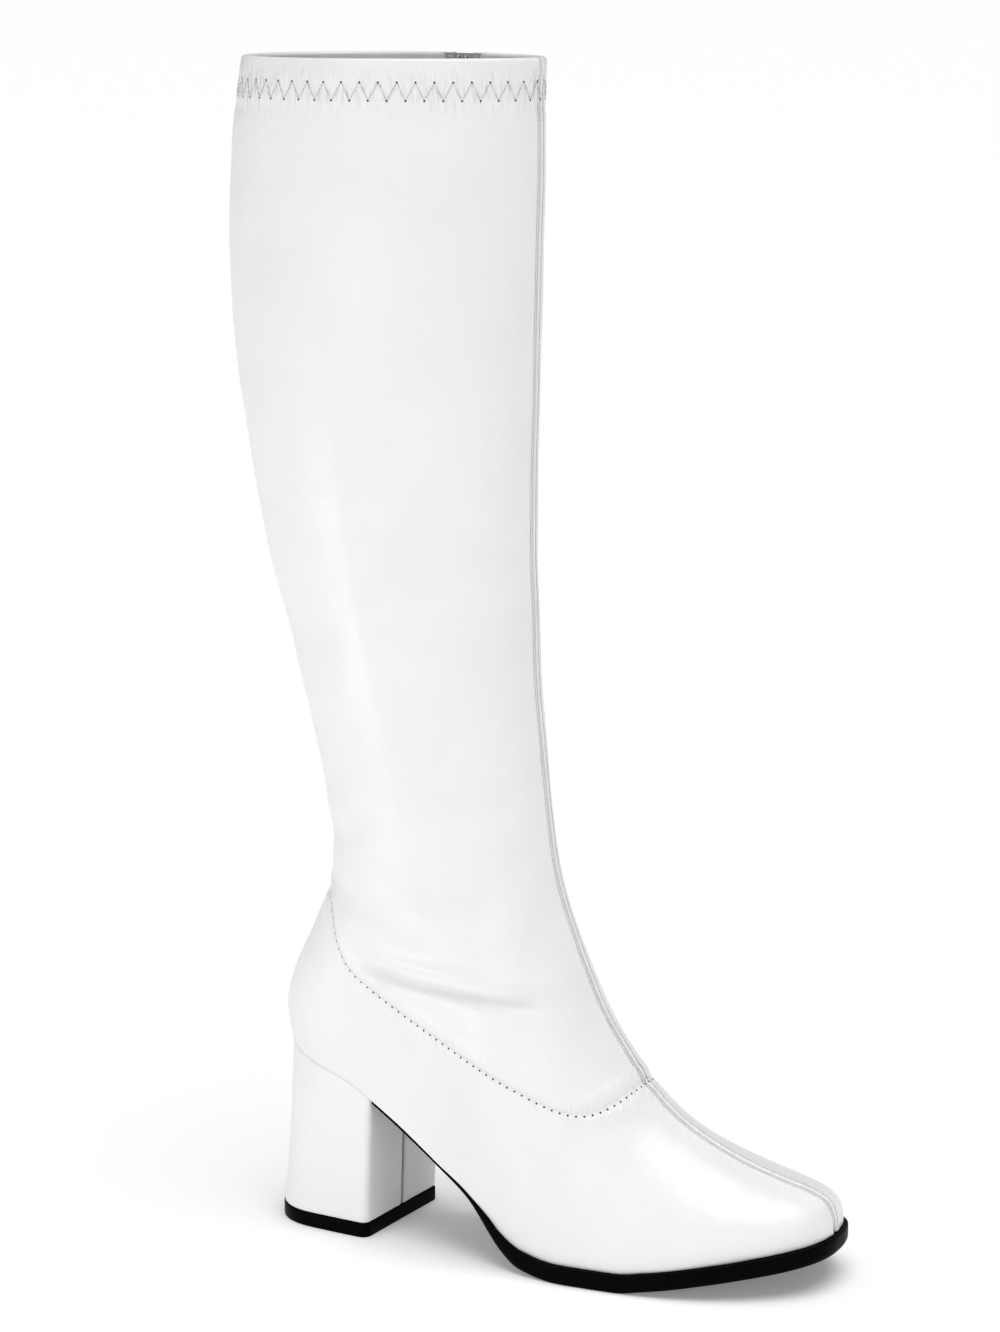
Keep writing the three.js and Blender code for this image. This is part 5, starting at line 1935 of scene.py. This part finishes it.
@dataclass
class Stitching:
    """Threads and needle holes of every visible seam.

    Attributes:
        skin: finds places on the boot.
        relief: low shapes on it.
        thread: radius of the sewing thread.
        pitch: length from hole to hole of a topstitch.
        seam_pitch: distance of the holes along the curved seam.
        seam_margin: how far they lie below the foot part's edge.
        seam_fade: size of the drawn-in holes at the back against those in front.
        hole: radius of those holes.
        zigzag_pitch: length of one zigzag along the collar.
        zigzag_drop: distances of its corners from the collar.
        zigzag_phase: how far it is shifted round the collar.
        needle: radius of a topstitch's holes.
        last_row: row where the stitch rows end under the collar.
    """

    skin: Skin
    relief: Relief
    thread: float = 0.2
    pitch: float = 2.9
    seam_pitch: float = 3.4
    seam_margin: float = 1.0
    seam_fade: float = 0.5
    hole: float = 0.44
    zigzag_pitch: float = 7.25
    zigzag_drop: tuple[float, float] = (9.2, 16.3)
    zigzag_phase: float = -3.1
    needle: float = 0.24
    last_row: float = 1.985

    def lay(self, rows: Array, place: Place) -> tuple[Array, Array]:
        """Points on the dressed leather and their normals.

        Args:
            rows: rows, one per ring.
            place: places on each ring.

        Returns:
            The points and the normals, ring after ring.
        """
        patch = self.skin.patch(rows, place)
        sink = np.where(patch.row >= 1, self.relief.shaft_depth(patch.row), 0)
        points = patch.point + patch.normal * (self.relief.offset(patch) - sink)[..., None]
        return points.reshape(-1, 3), patch.normal.reshape(-1, 3)

    def stitch(self, length: float, radius: float) -> bmesh.types.BMesh:
        """One stitch that rises from its hole and dips into the next.

        Args:
            length: its length, in mm.
            radius: its radius, in mm.

        Returns:
            Its shape, in mm.
        """
        bm = bmesh.new()
        half = length / 2
        path = [(-half, 0, -0.3), (-0.82 * half, 0, 0.06), (0, 0, 0.6 * radius), (0.82 * half, 0, 0.06),
                (half, 0, -0.3)]
        sweep(bm, path, [0.8 * radius, radius, radius, radius, 0.8 * radius], 6)
        return bm

    def pinhole(self, radius: float) -> bmesh.types.BMesh:
        """Rim and floor of a needle hole, a low disc; the dark colour that it is given is painted shade for the
        hole.

        Args:
            radius: its radius, in mm.

        Returns:
            Its shape, in mm.
        """
        bm = bmesh.new()
        ring = bmesh.ops.create_circle(bm, cap_ends=True, segments=10, radius=radius)["verts"]
        bmesh.ops.inset_region(bm, faces=bm.faces, thickness=0.3 * radius, depth=0.0, use_boundary=True)
        bmesh.ops.translate(bm, vec=(0, 0, 0.14), verts=bm.verts)
        bmesh.ops.translate(bm, vec=(0, 0, -0.07), verts=ring)
        return bm

    def put_stitches(self, name: str, starts: Array, ends: Array, normals: Array, radius: float,
                     finish: Finish) -> None:
        """Stitches from hole to hole as one piece.

        Args:
            name: the piece's name.
            starts: where each starts.
            ends: where each ends.
            normals: directions out of the leather.
            radius: its radius, in mm.
            finish: the finish.
        """
        length = float(np.median(np.linalg.norm(ends - starts, axis=1)))
        frames = frames_between(starts, ends, normals)
        place_on(repeat(name, self.stitch(length, radius), frames, finish), "leather")

    def put_holes(self, name: str, points: Array, normals: Array, radius: float,
                  size: Array | float = 1.0) -> None:
        """Needle holes as one piece, in a dark colour that is painted shade for the holes.
            points: their middles.
            normals: the leather's normals there.
            radius: radius of a whole one.
            size: how large each is against that.
        """
        lead = np.cross(normals, (0.3, 0.2, 1.0))
        frames = frames_between(points - lead, points + lead, normals)
        frames[:, :, :3] *= np.reshape(size, (-1, 1, 1))
        place_on(repeat(name, self.pinhole(radius), frames, PINHOLE_SHADE), "leather")

    def topstitch(self, name: str, place: Place, first: float, last: float) -> None:
        """A row of stitches with a hole between each two.

        Args:
            name: start of its pieces' names.
            place: the line that it follows.
            first: row where it starts.
            last: row where it ends.
        """
        rows = self.skin.rows_along(place, first, last, self.pitch / STITCH_PARTS)
        starts, ends, holes = (rows[first::STITCH_PARTS] for first in (1, STITCH_PARTS - 1, 0))
        count = min(len(starts), len(ends))
        a, normal = self.lay(starts[:count], place)
        b, _ = self.lay(ends[:count], place)
        self.put_stitches(f"{name}_thread", a, b, normal, self.thread, THREAD)
        points, normals = self.lay(holes, place)
        self.put_holes(f"{name}_holes", points, normals, self.needle)

    def build_front(self) -> None:
        """Both stitch rows of the front seam and the pricked line in its groove."""
        gap = self.relief.row_gap
        for name, side in (("front_seam_outer", -1), ("front_seam_inner", 1)):
            self.topstitch(name, beside_front(side * gap), 0.035, self.last_row)
        groove = beside_front(0.0)
        points, normals = self.lay(self.skin.rows_along(groove, 0.03, 1.99, self.pitch), groove)
        self.put_holes("front_seam_pricks", points, normals, 0.3)

    def build_curved(self) -> None:
        """Needle holes in the foot part just below its edge."""
        row = np.array([1 - self.seam_margin / FOOT_ROW])
        arcs, _, _ = self.skin.rings(row)
        count = int(arcs[0, -1] / self.seam_pitch)
        place = round_ring(np.linspace(0, 1, count, endpoint=False)[None, :])
        patch = self.skin.patch(row, place)
        clear = np.abs(patch.zip[0]) > self.relief.sizes.slot_width / 2 + 1.5
        points, normals = self.lay(row, place)
        size = self.seam_fade + (1 - self.seam_fade) * smooth_step(15, 95, patch.back[0])
        self.put_holes("curved_seam_holes", points[clear], normals[clear], self.hole, size[clear])

    def build_collar(self) -> None:
        """Zigzag round the collar, with a hole at each corner."""
        rows = 2 - np.array(self.zigzag_drop) / LEG_ROW
        arcs, _, _ = self.skin.rings(rows)
        count = int(arcs[0, -1] / self.zigzag_pitch)
        steps = np.linspace(0, 1, 2 * count, endpoint=False)[None, :]
        place = round_ring(steps, self.zigzag_phase)
        patch = self.skin.patch(rows, place)
        points, normals = self.lay(rows, place)
        points, normals = points.reshape(2, -1, 3), normals.reshape(2, -1, 3)
        corner = np.arange(2 * count)
        high = corner % 2 == 0
        picked = np.where(high[:, None], points[0], points[1])
        facing = np.where(high[:, None], normals[0], normals[1])
        clear = np.abs(np.where(high, patch.zip[0], patch.zip[1])) > self.relief.sizes.slot_width / 2 + 1.8
        ends = np.roll(picked, -1, axis=0)
        both = clear & np.roll(clear, -1)
        self.put_stitches("collar_zigzag_thread", picked[both], ends[both], facing[both], 0.15, FINE_THREAD)
        self.put_holes("collar_zigzag_holes", picked[clear], facing[clear], 0.42)

    def build_zip(self) -> None:
        """Topstitch beside the zip's slot."""
        reach = self.relief.sizes.slot_width / 2 + 2.0
        for name, side in (("zip_front", -1), ("zip_back", 1)):
            self.topstitch(name, beside_zip(side * reach), SLOT_FOOT_ROW + 0.03, self.last_row)

    def build(self) -> None:
        """Builds every seam's stitching."""
        self.build_front()
        self.build_curved()
        self.build_collar()
        self.build_zip()


@dataclass
class Zip:
    """Closed coil zip on the inner side.

    Attributes:
        skin: finds places on the boot.
        relief: low shapes on it.
        tooth_pitch: distance from one coil loop to the next on the same side.
        tape_thickness: thickness of the tape.
        overrun: how far the tape goes on below the slot.
        top_gap: distance of its end from the collar.
    """

    skin: Skin
    relief: Relief
    tooth_pitch: float = 1.5
    tape_thickness: float = 0.7
    overrun: float = 6.0
    top_gap: float = 0.4

    def inside(self, row: Array) -> Array:
        """Depth of the wall's inside under the skin."""
        sizes = self.relief.sizes
        return np.where(row <= 1, sizes.upper_wall, self.relief.shaft_depth(row) + 1.5)

    def strip(self, rows: Array, across: Array, extra: Callable[[Array], Array]) -> Array:
        """Points beside the zip at distances across it, under the wall's inside.

        Args:
            rows: rows, one per ring.
            across: distances from the zip's middle line, in mm.
            extra: further depth at each distance.

        Returns:
            The points.
        """
        patch = self.skin.patch(rows, beside_zip(across[None, :]))
        depth = self.inside(patch.row) + extra(np.broadcast_to(across[None, :], patch.row.shape))
        return patch.point - patch.normal * depth[..., None]

    def build_tape(self) -> None:
        """Tape with a corded edge on each side of the coil."""
        foot = SLOT_FOOT_ROW - self.overrun / FOOT_ROW
        rows = np.concatenate([np.linspace(foot, 1, 50), np.linspace(1.004, 2 - self.top_gap / LEG_ROW, 130)])
        half = self.relief.sizes.tape_width / 2
        reach = np.array([1.6, 2.6, 3.2, 3.8, 4.4, 5.5, 7, 9, half - 0.6, half])
        across = np.concatenate([-reach[::-1], [0], reach])
        points = self.strip(rows, across, lambda at: 0.4 - 0.35 * bump(np.abs(at) - 3.8, 0.5))
        bm = bmesh.new()
        add_sheet(bm, points)
        bmesh.ops.solidify(bm, geom=bm.faces[:], thickness=self.tape_thickness * MM)
        place_on(finish_mesh("zip_tape_cloth", bm, TAPE_CLOTH, 60, True), "tape", "zip_tape")

    def tooth(self) -> bmesh.types.BMesh:
        """One loop of the coil, across from its own side to the middle.

        Returns:
            Its shape, in mm.
        """
        bm = bmesh.new()
        path = [(-2.5, 0, 0.1), (-2.35, 0, 0.75), (-1.6, 0, 1.0), (0.2, 0, 0.98), (0.75, 0, 0.72), (0.8, 0, 0.3)]
        sweep(bm, path, [0.3, 0.34, 0.36, 0.42, 0.42, 0.34], 6)
        return bm

    def coil_frames(self, rows: Array, side: int, spread: Array) -> Array:
        """Frames of the loops of one side of the coil.

        Args:
            rows: rows, one per ring.
            side: 1 on the front side of the zip and -1 on the back side.
            spread: how far each loop stands off the middle.

        Returns:
            One 3 by 4 frame per row.
        """
        half = self.relief.sizes.slot_width / 2
        edges = self.strip(rows, np.array([-half, half]), np.zeros_like)
        middle = (edges[:, 0] + edges[:, 1]) / 2
        across = unit(edges[:, 1] - edges[:, 0]) * -side
        out = unit(np.cross(across, np.gradient(middle, axis=0)))
        out *= np.sign(out[:, 1:2])
        along = unit(np.cross(out, across))
        slant = unit(across + 0.18 * along)
        return np.stack([slant, along, out, middle - across * spread[:, None]], -1)

    def build_coil(self) -> None:
        """Both sides of the coil, closed below the slider and parted above it."""
        sizes = self.relief.sizes
        first, last = SLOT_FOOT_ROW + 5.2 / FOOT_ROW, 2 - (self.top_gap + 2) / LEG_ROW
        rows = self.skin.rows_along(beside_zip(0.0), first, last, self.tooth_pitch / 2)
        drop = (2 - rows) * LEG_ROW
        under = (drop > sizes.slider_drop - 1) & (drop < sizes.slider_drop + sizes.slider_length)
        spread = np.clip(sizes.slider_drop - drop, 0, 6) * 0.28
        for name, side, start in (("coil_front", 1, 0), ("coil_back", -1, 1)):
            picked = ~under[start::2]
            frames = self.coil_frames(rows[start::2], side, spread[start::2])[picked]
            obj = repeat(name, self.tooth(), frames, NYLON)
            place_on(obj, "coil", "zip_chain")

    def build_top_stops(self) -> None:
        """Metal clips that end the coil just under the collar."""
        rows = 2 - np.array([2.0, 2.7, 3.4]) / LEG_ROW
        frames = np.concatenate([self.coil_frames(rows, side, np.full(3, 2.1))[1:2] for side in (1, -1)])
        clip = bmesh.new()
        made = bmesh.ops.create_cube(clip, size=1.0)["verts"]
        bmesh.ops.scale(clip, vec=(2.2, 2.8, 3.4), verts=made)
        bmesh.ops.translate(clip, vec=(0, 0, -0.3), verts=made)
        bmesh.ops.bevel(clip, geom=clip.edges[:], offset=0.5, segments=2, profile=0.5, affect="EDGES", material=-1)
        place_on(repeat("zip_top_stops", clip, frames, NICKEL), "metal")

    def build_metal(self) -> None:
        """Slider, pull and stop with eased edges."""
        for name, node, body, offset in (("zip_slider_metal", "zip_slider", "boot", 0.32),
                                         ("zip_pull_metal", "zip_pull", "pull", 0.3),
                                         ("zip_stop_metal", "zip_bottom_stop", "boot", 0.3)):
            bm = bmesh.new()
            bm.from_mesh(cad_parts[node].data)
            bmesh.ops.remove_doubles(bm, verts=bm.verts, dist=1e-6)
            bmesh.ops.dissolve_limit(bm, angle_limit=math.radians(2), verts=bm.verts, edges=bm.edges)
            sharp = [e for e in bm.edges if len(e.link_faces) == 2 and e.calc_face_angle() > math.radians(20)]
            bmesh.ops.bevel(
                bm,
                geom=sharp,
                offset=offset * MM,
                segments=3,
                profile=0.5,
                affect="EDGES",
                material=-1,
                clamp_overlap=True,
            )
            place_on(finish_mesh(name, bm, NICKEL, 35), "metal", node, body=body)

    def build(self) -> None:
        """Builds the zip."""
        self.build_tape()
        self.build_coil()
        self.build_top_stops()
        self.build_metal()


@dataclass
class Sock:
    """Padded sock lining over the insole board."""

    form: BootForm
    inset: float = 3.1
    lift: float = 3.3

    def build(self) -> None:
        """One sheet from the seat to the toe, dished a little under the heel."""
        t = (1 - np.cos(np.pi * np.linspace(0, 1, 91))) / 2
        lines = []
        for side in (-1, 1):
            here = self.form.skin(side, t, 0.0)[:, :2]
            lines.append(here - outward(here, side) * self.inset)
        s = np.linspace(0, 1, 25)[:, None, None]
        flat = lines[0][None] * (1 - s) + lines[1][None] * s
        rim = np.abs(2 * s[..., 0] - 1) ** 4
        z = self.form.feather(flat[..., 0]) + self.lift + 0.5 * rim
        bm = bmesh.new()
        add_sheet(bm, np.concatenate([flat, z[..., None]], -1))
        weld(bm)
        place_on(finish_mesh("sock_lining", bm, SOCK), "leather")


@dataclass(frozen=True)
class SoftBox:
    """Soft rectangular lamp that faces the boot.

    Attributes:
        name: its name in the scene.
        azimuth: how far round the boot it stands, in degrees.
        reach: its distance from the boot, in metres.
        height: height of its middle over the floor, in metres.
        aim: height of the place it faces, in metres.
        size: its width and height, in metres.
        watts: its strength.
    """

    name: str
    azimuth: float
    reach: float
    height: float
    aim: float
    size: tuple[float, float]
    watts: float

    def build(self) -> None:
        """Puts the lamp in its place."""
        data = bpy.data.lights.new(self.name, "AREA")
        data.shape = "RECTANGLE"
        data.size, data.size_y = self.size
        data.energy = self.watts
        a = math.radians(self.azimuth)
        foot = Vector((0.06, 0, 0))
        place = foot + Vector((math.sin(a) * self.reach, -math.cos(a) * self.reach, self.height))
        light = bpy.data.objects.new(self.name, data)
        light.location = place
        light.rotation_euler = (place - foot - Vector((0, 0, self.aim))).to_track_quat("Z", "Y").to_euler()
        bpy.context.scene.collection.objects.link(light)


LAMPS = (
    SoftBox("left_strip_light", 5, 2.2, 0.5, 0.25, (0.3, 1.5), 3.9),
    SoftBox("right_strip_light", 25, 2.2, 0.5, 0.25, (0.3, 1.5), 2.6),
    SoftBox("low_left_light", -32, 0.62, 0.1, 0.06, (0.2, 0.14), 0.44),
)


@dataclass
class Studio:
    """Pale sweep, soft lights and the camera.

    Attributes:
        azimuth: how far the camera stands round the boot, in degrees.
        elevation: how far it looks down.
        distance: from the camera to the aimed point, in mm.
        lens: focal length on a 36 mm high frame.
        aim: aimed point, across and up, in mm.
        ambient: strength of the light from all round.
        overhead: strength of the light from above.
        overhead_spread: how wide that light is, in degrees.
        overhead_from: where it comes from.
    """

    azimuth: float = 26.5
    elevation: float = 11.5
    distance: float = 1493.5
    lens: float = 36 * 3600 / 1332
    aim: tuple[float, float] = (63.3, 236.5)
    ambient: float = 0.32
    overhead: float = 1.95
    overhead_spread: float = 50.0
    overhead_from: tuple[float, float, float] = (0.18, -0.1, 1.0)

    def build_camera(self) -> None:
        """Camera at the photograph's angle."""
        a, e = math.radians(self.azimuth), math.radians(self.elevation)
        right = Vector((math.cos(a), math.sin(a), 0))
        back = Vector((math.sin(a) * math.cos(e), -math.cos(a) * math.cos(e), math.sin(e)))
        up = back.cross(right)
        aim = right * self.aim[0] + Vector((0, 0, self.aim[1]))
        data = bpy.data.cameras.new("studio_camera")
        data.lens = self.lens
        data.clip_start = 0.1
        camera = bpy.data.objects.new("studio_camera", data)
        turn = Matrix((right, up, back)).transposed().to_4x4()
        camera.matrix_world = Matrix.Translation((aim + back * self.distance) * MM) @ turn
        bpy.context.scene.collection.objects.link(camera)
        bpy.context.scene.camera = camera

    def build_sweep(self) -> None:
        """Matt floor that the boot stands on."""
        bm = bmesh.new()
        bmesh.ops.create_grid(bm, x_segments=8, y_segments=8, size=60.0)
        finish_mesh("studio_floor", bm, LIT_PAPER)

    def build(self) -> None:
        """Builds all of it."""
        self.build_camera()
        self.build_sweep()
        scene = bpy.context.scene
        scene.view_settings.view_transform = "Standard"
        world = bpy.data.worlds.new("studio_world")
        world.use_nodes = True
        tree = world.node_tree
        seen = add_node(tree, "ShaderNodeLightPath").outputs["Is Camera Ray"]
        strength = add_node(tree, "ShaderNodeMapRange", {"Value": seen, "To Min": self.ambient, "To Max": 1.0})
        background = tree.nodes["Background"]
        background.inputs["Color"].default_value = (1, 1, 1, 1)
        tree.links.new(strength.outputs["Result"], background.inputs["Strength"])
        scene.world = world
        for lamp in LAMPS:
            lamp.build()
        sky = bpy.data.lights.new("overhead_light", "SUN")
        sky.energy = self.overhead
        sky.angle = math.radians(self.overhead_spread)
        overhead = bpy.data.objects.new("overhead_light", sky)
        overhead.rotation_euler = Vector(self.overhead_from).to_track_quat("Z", "Y").to_euler()
        scene.collection.objects.link(overhead)


def main() -> None:
    """Builds the boot and its studio."""
    logging.basicConfig(level=logging.INFO, format="%(name)s %(message)s")
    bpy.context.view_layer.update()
    sizes = BootSizes()
    form = BootForm(sizes)
    skin = Skin(form)
    relief = Relief(sizes)
    Leathers(skin, relief).build()
    Outsole(form).build()
    Heel(form).build()
    Sock(form).build()
    dress_node("insole", BOARD)
    Stitching(skin, relief).build()
    Zip(skin, relief).build()
    Studio().build()


if __name__ == "__main__":
    main()
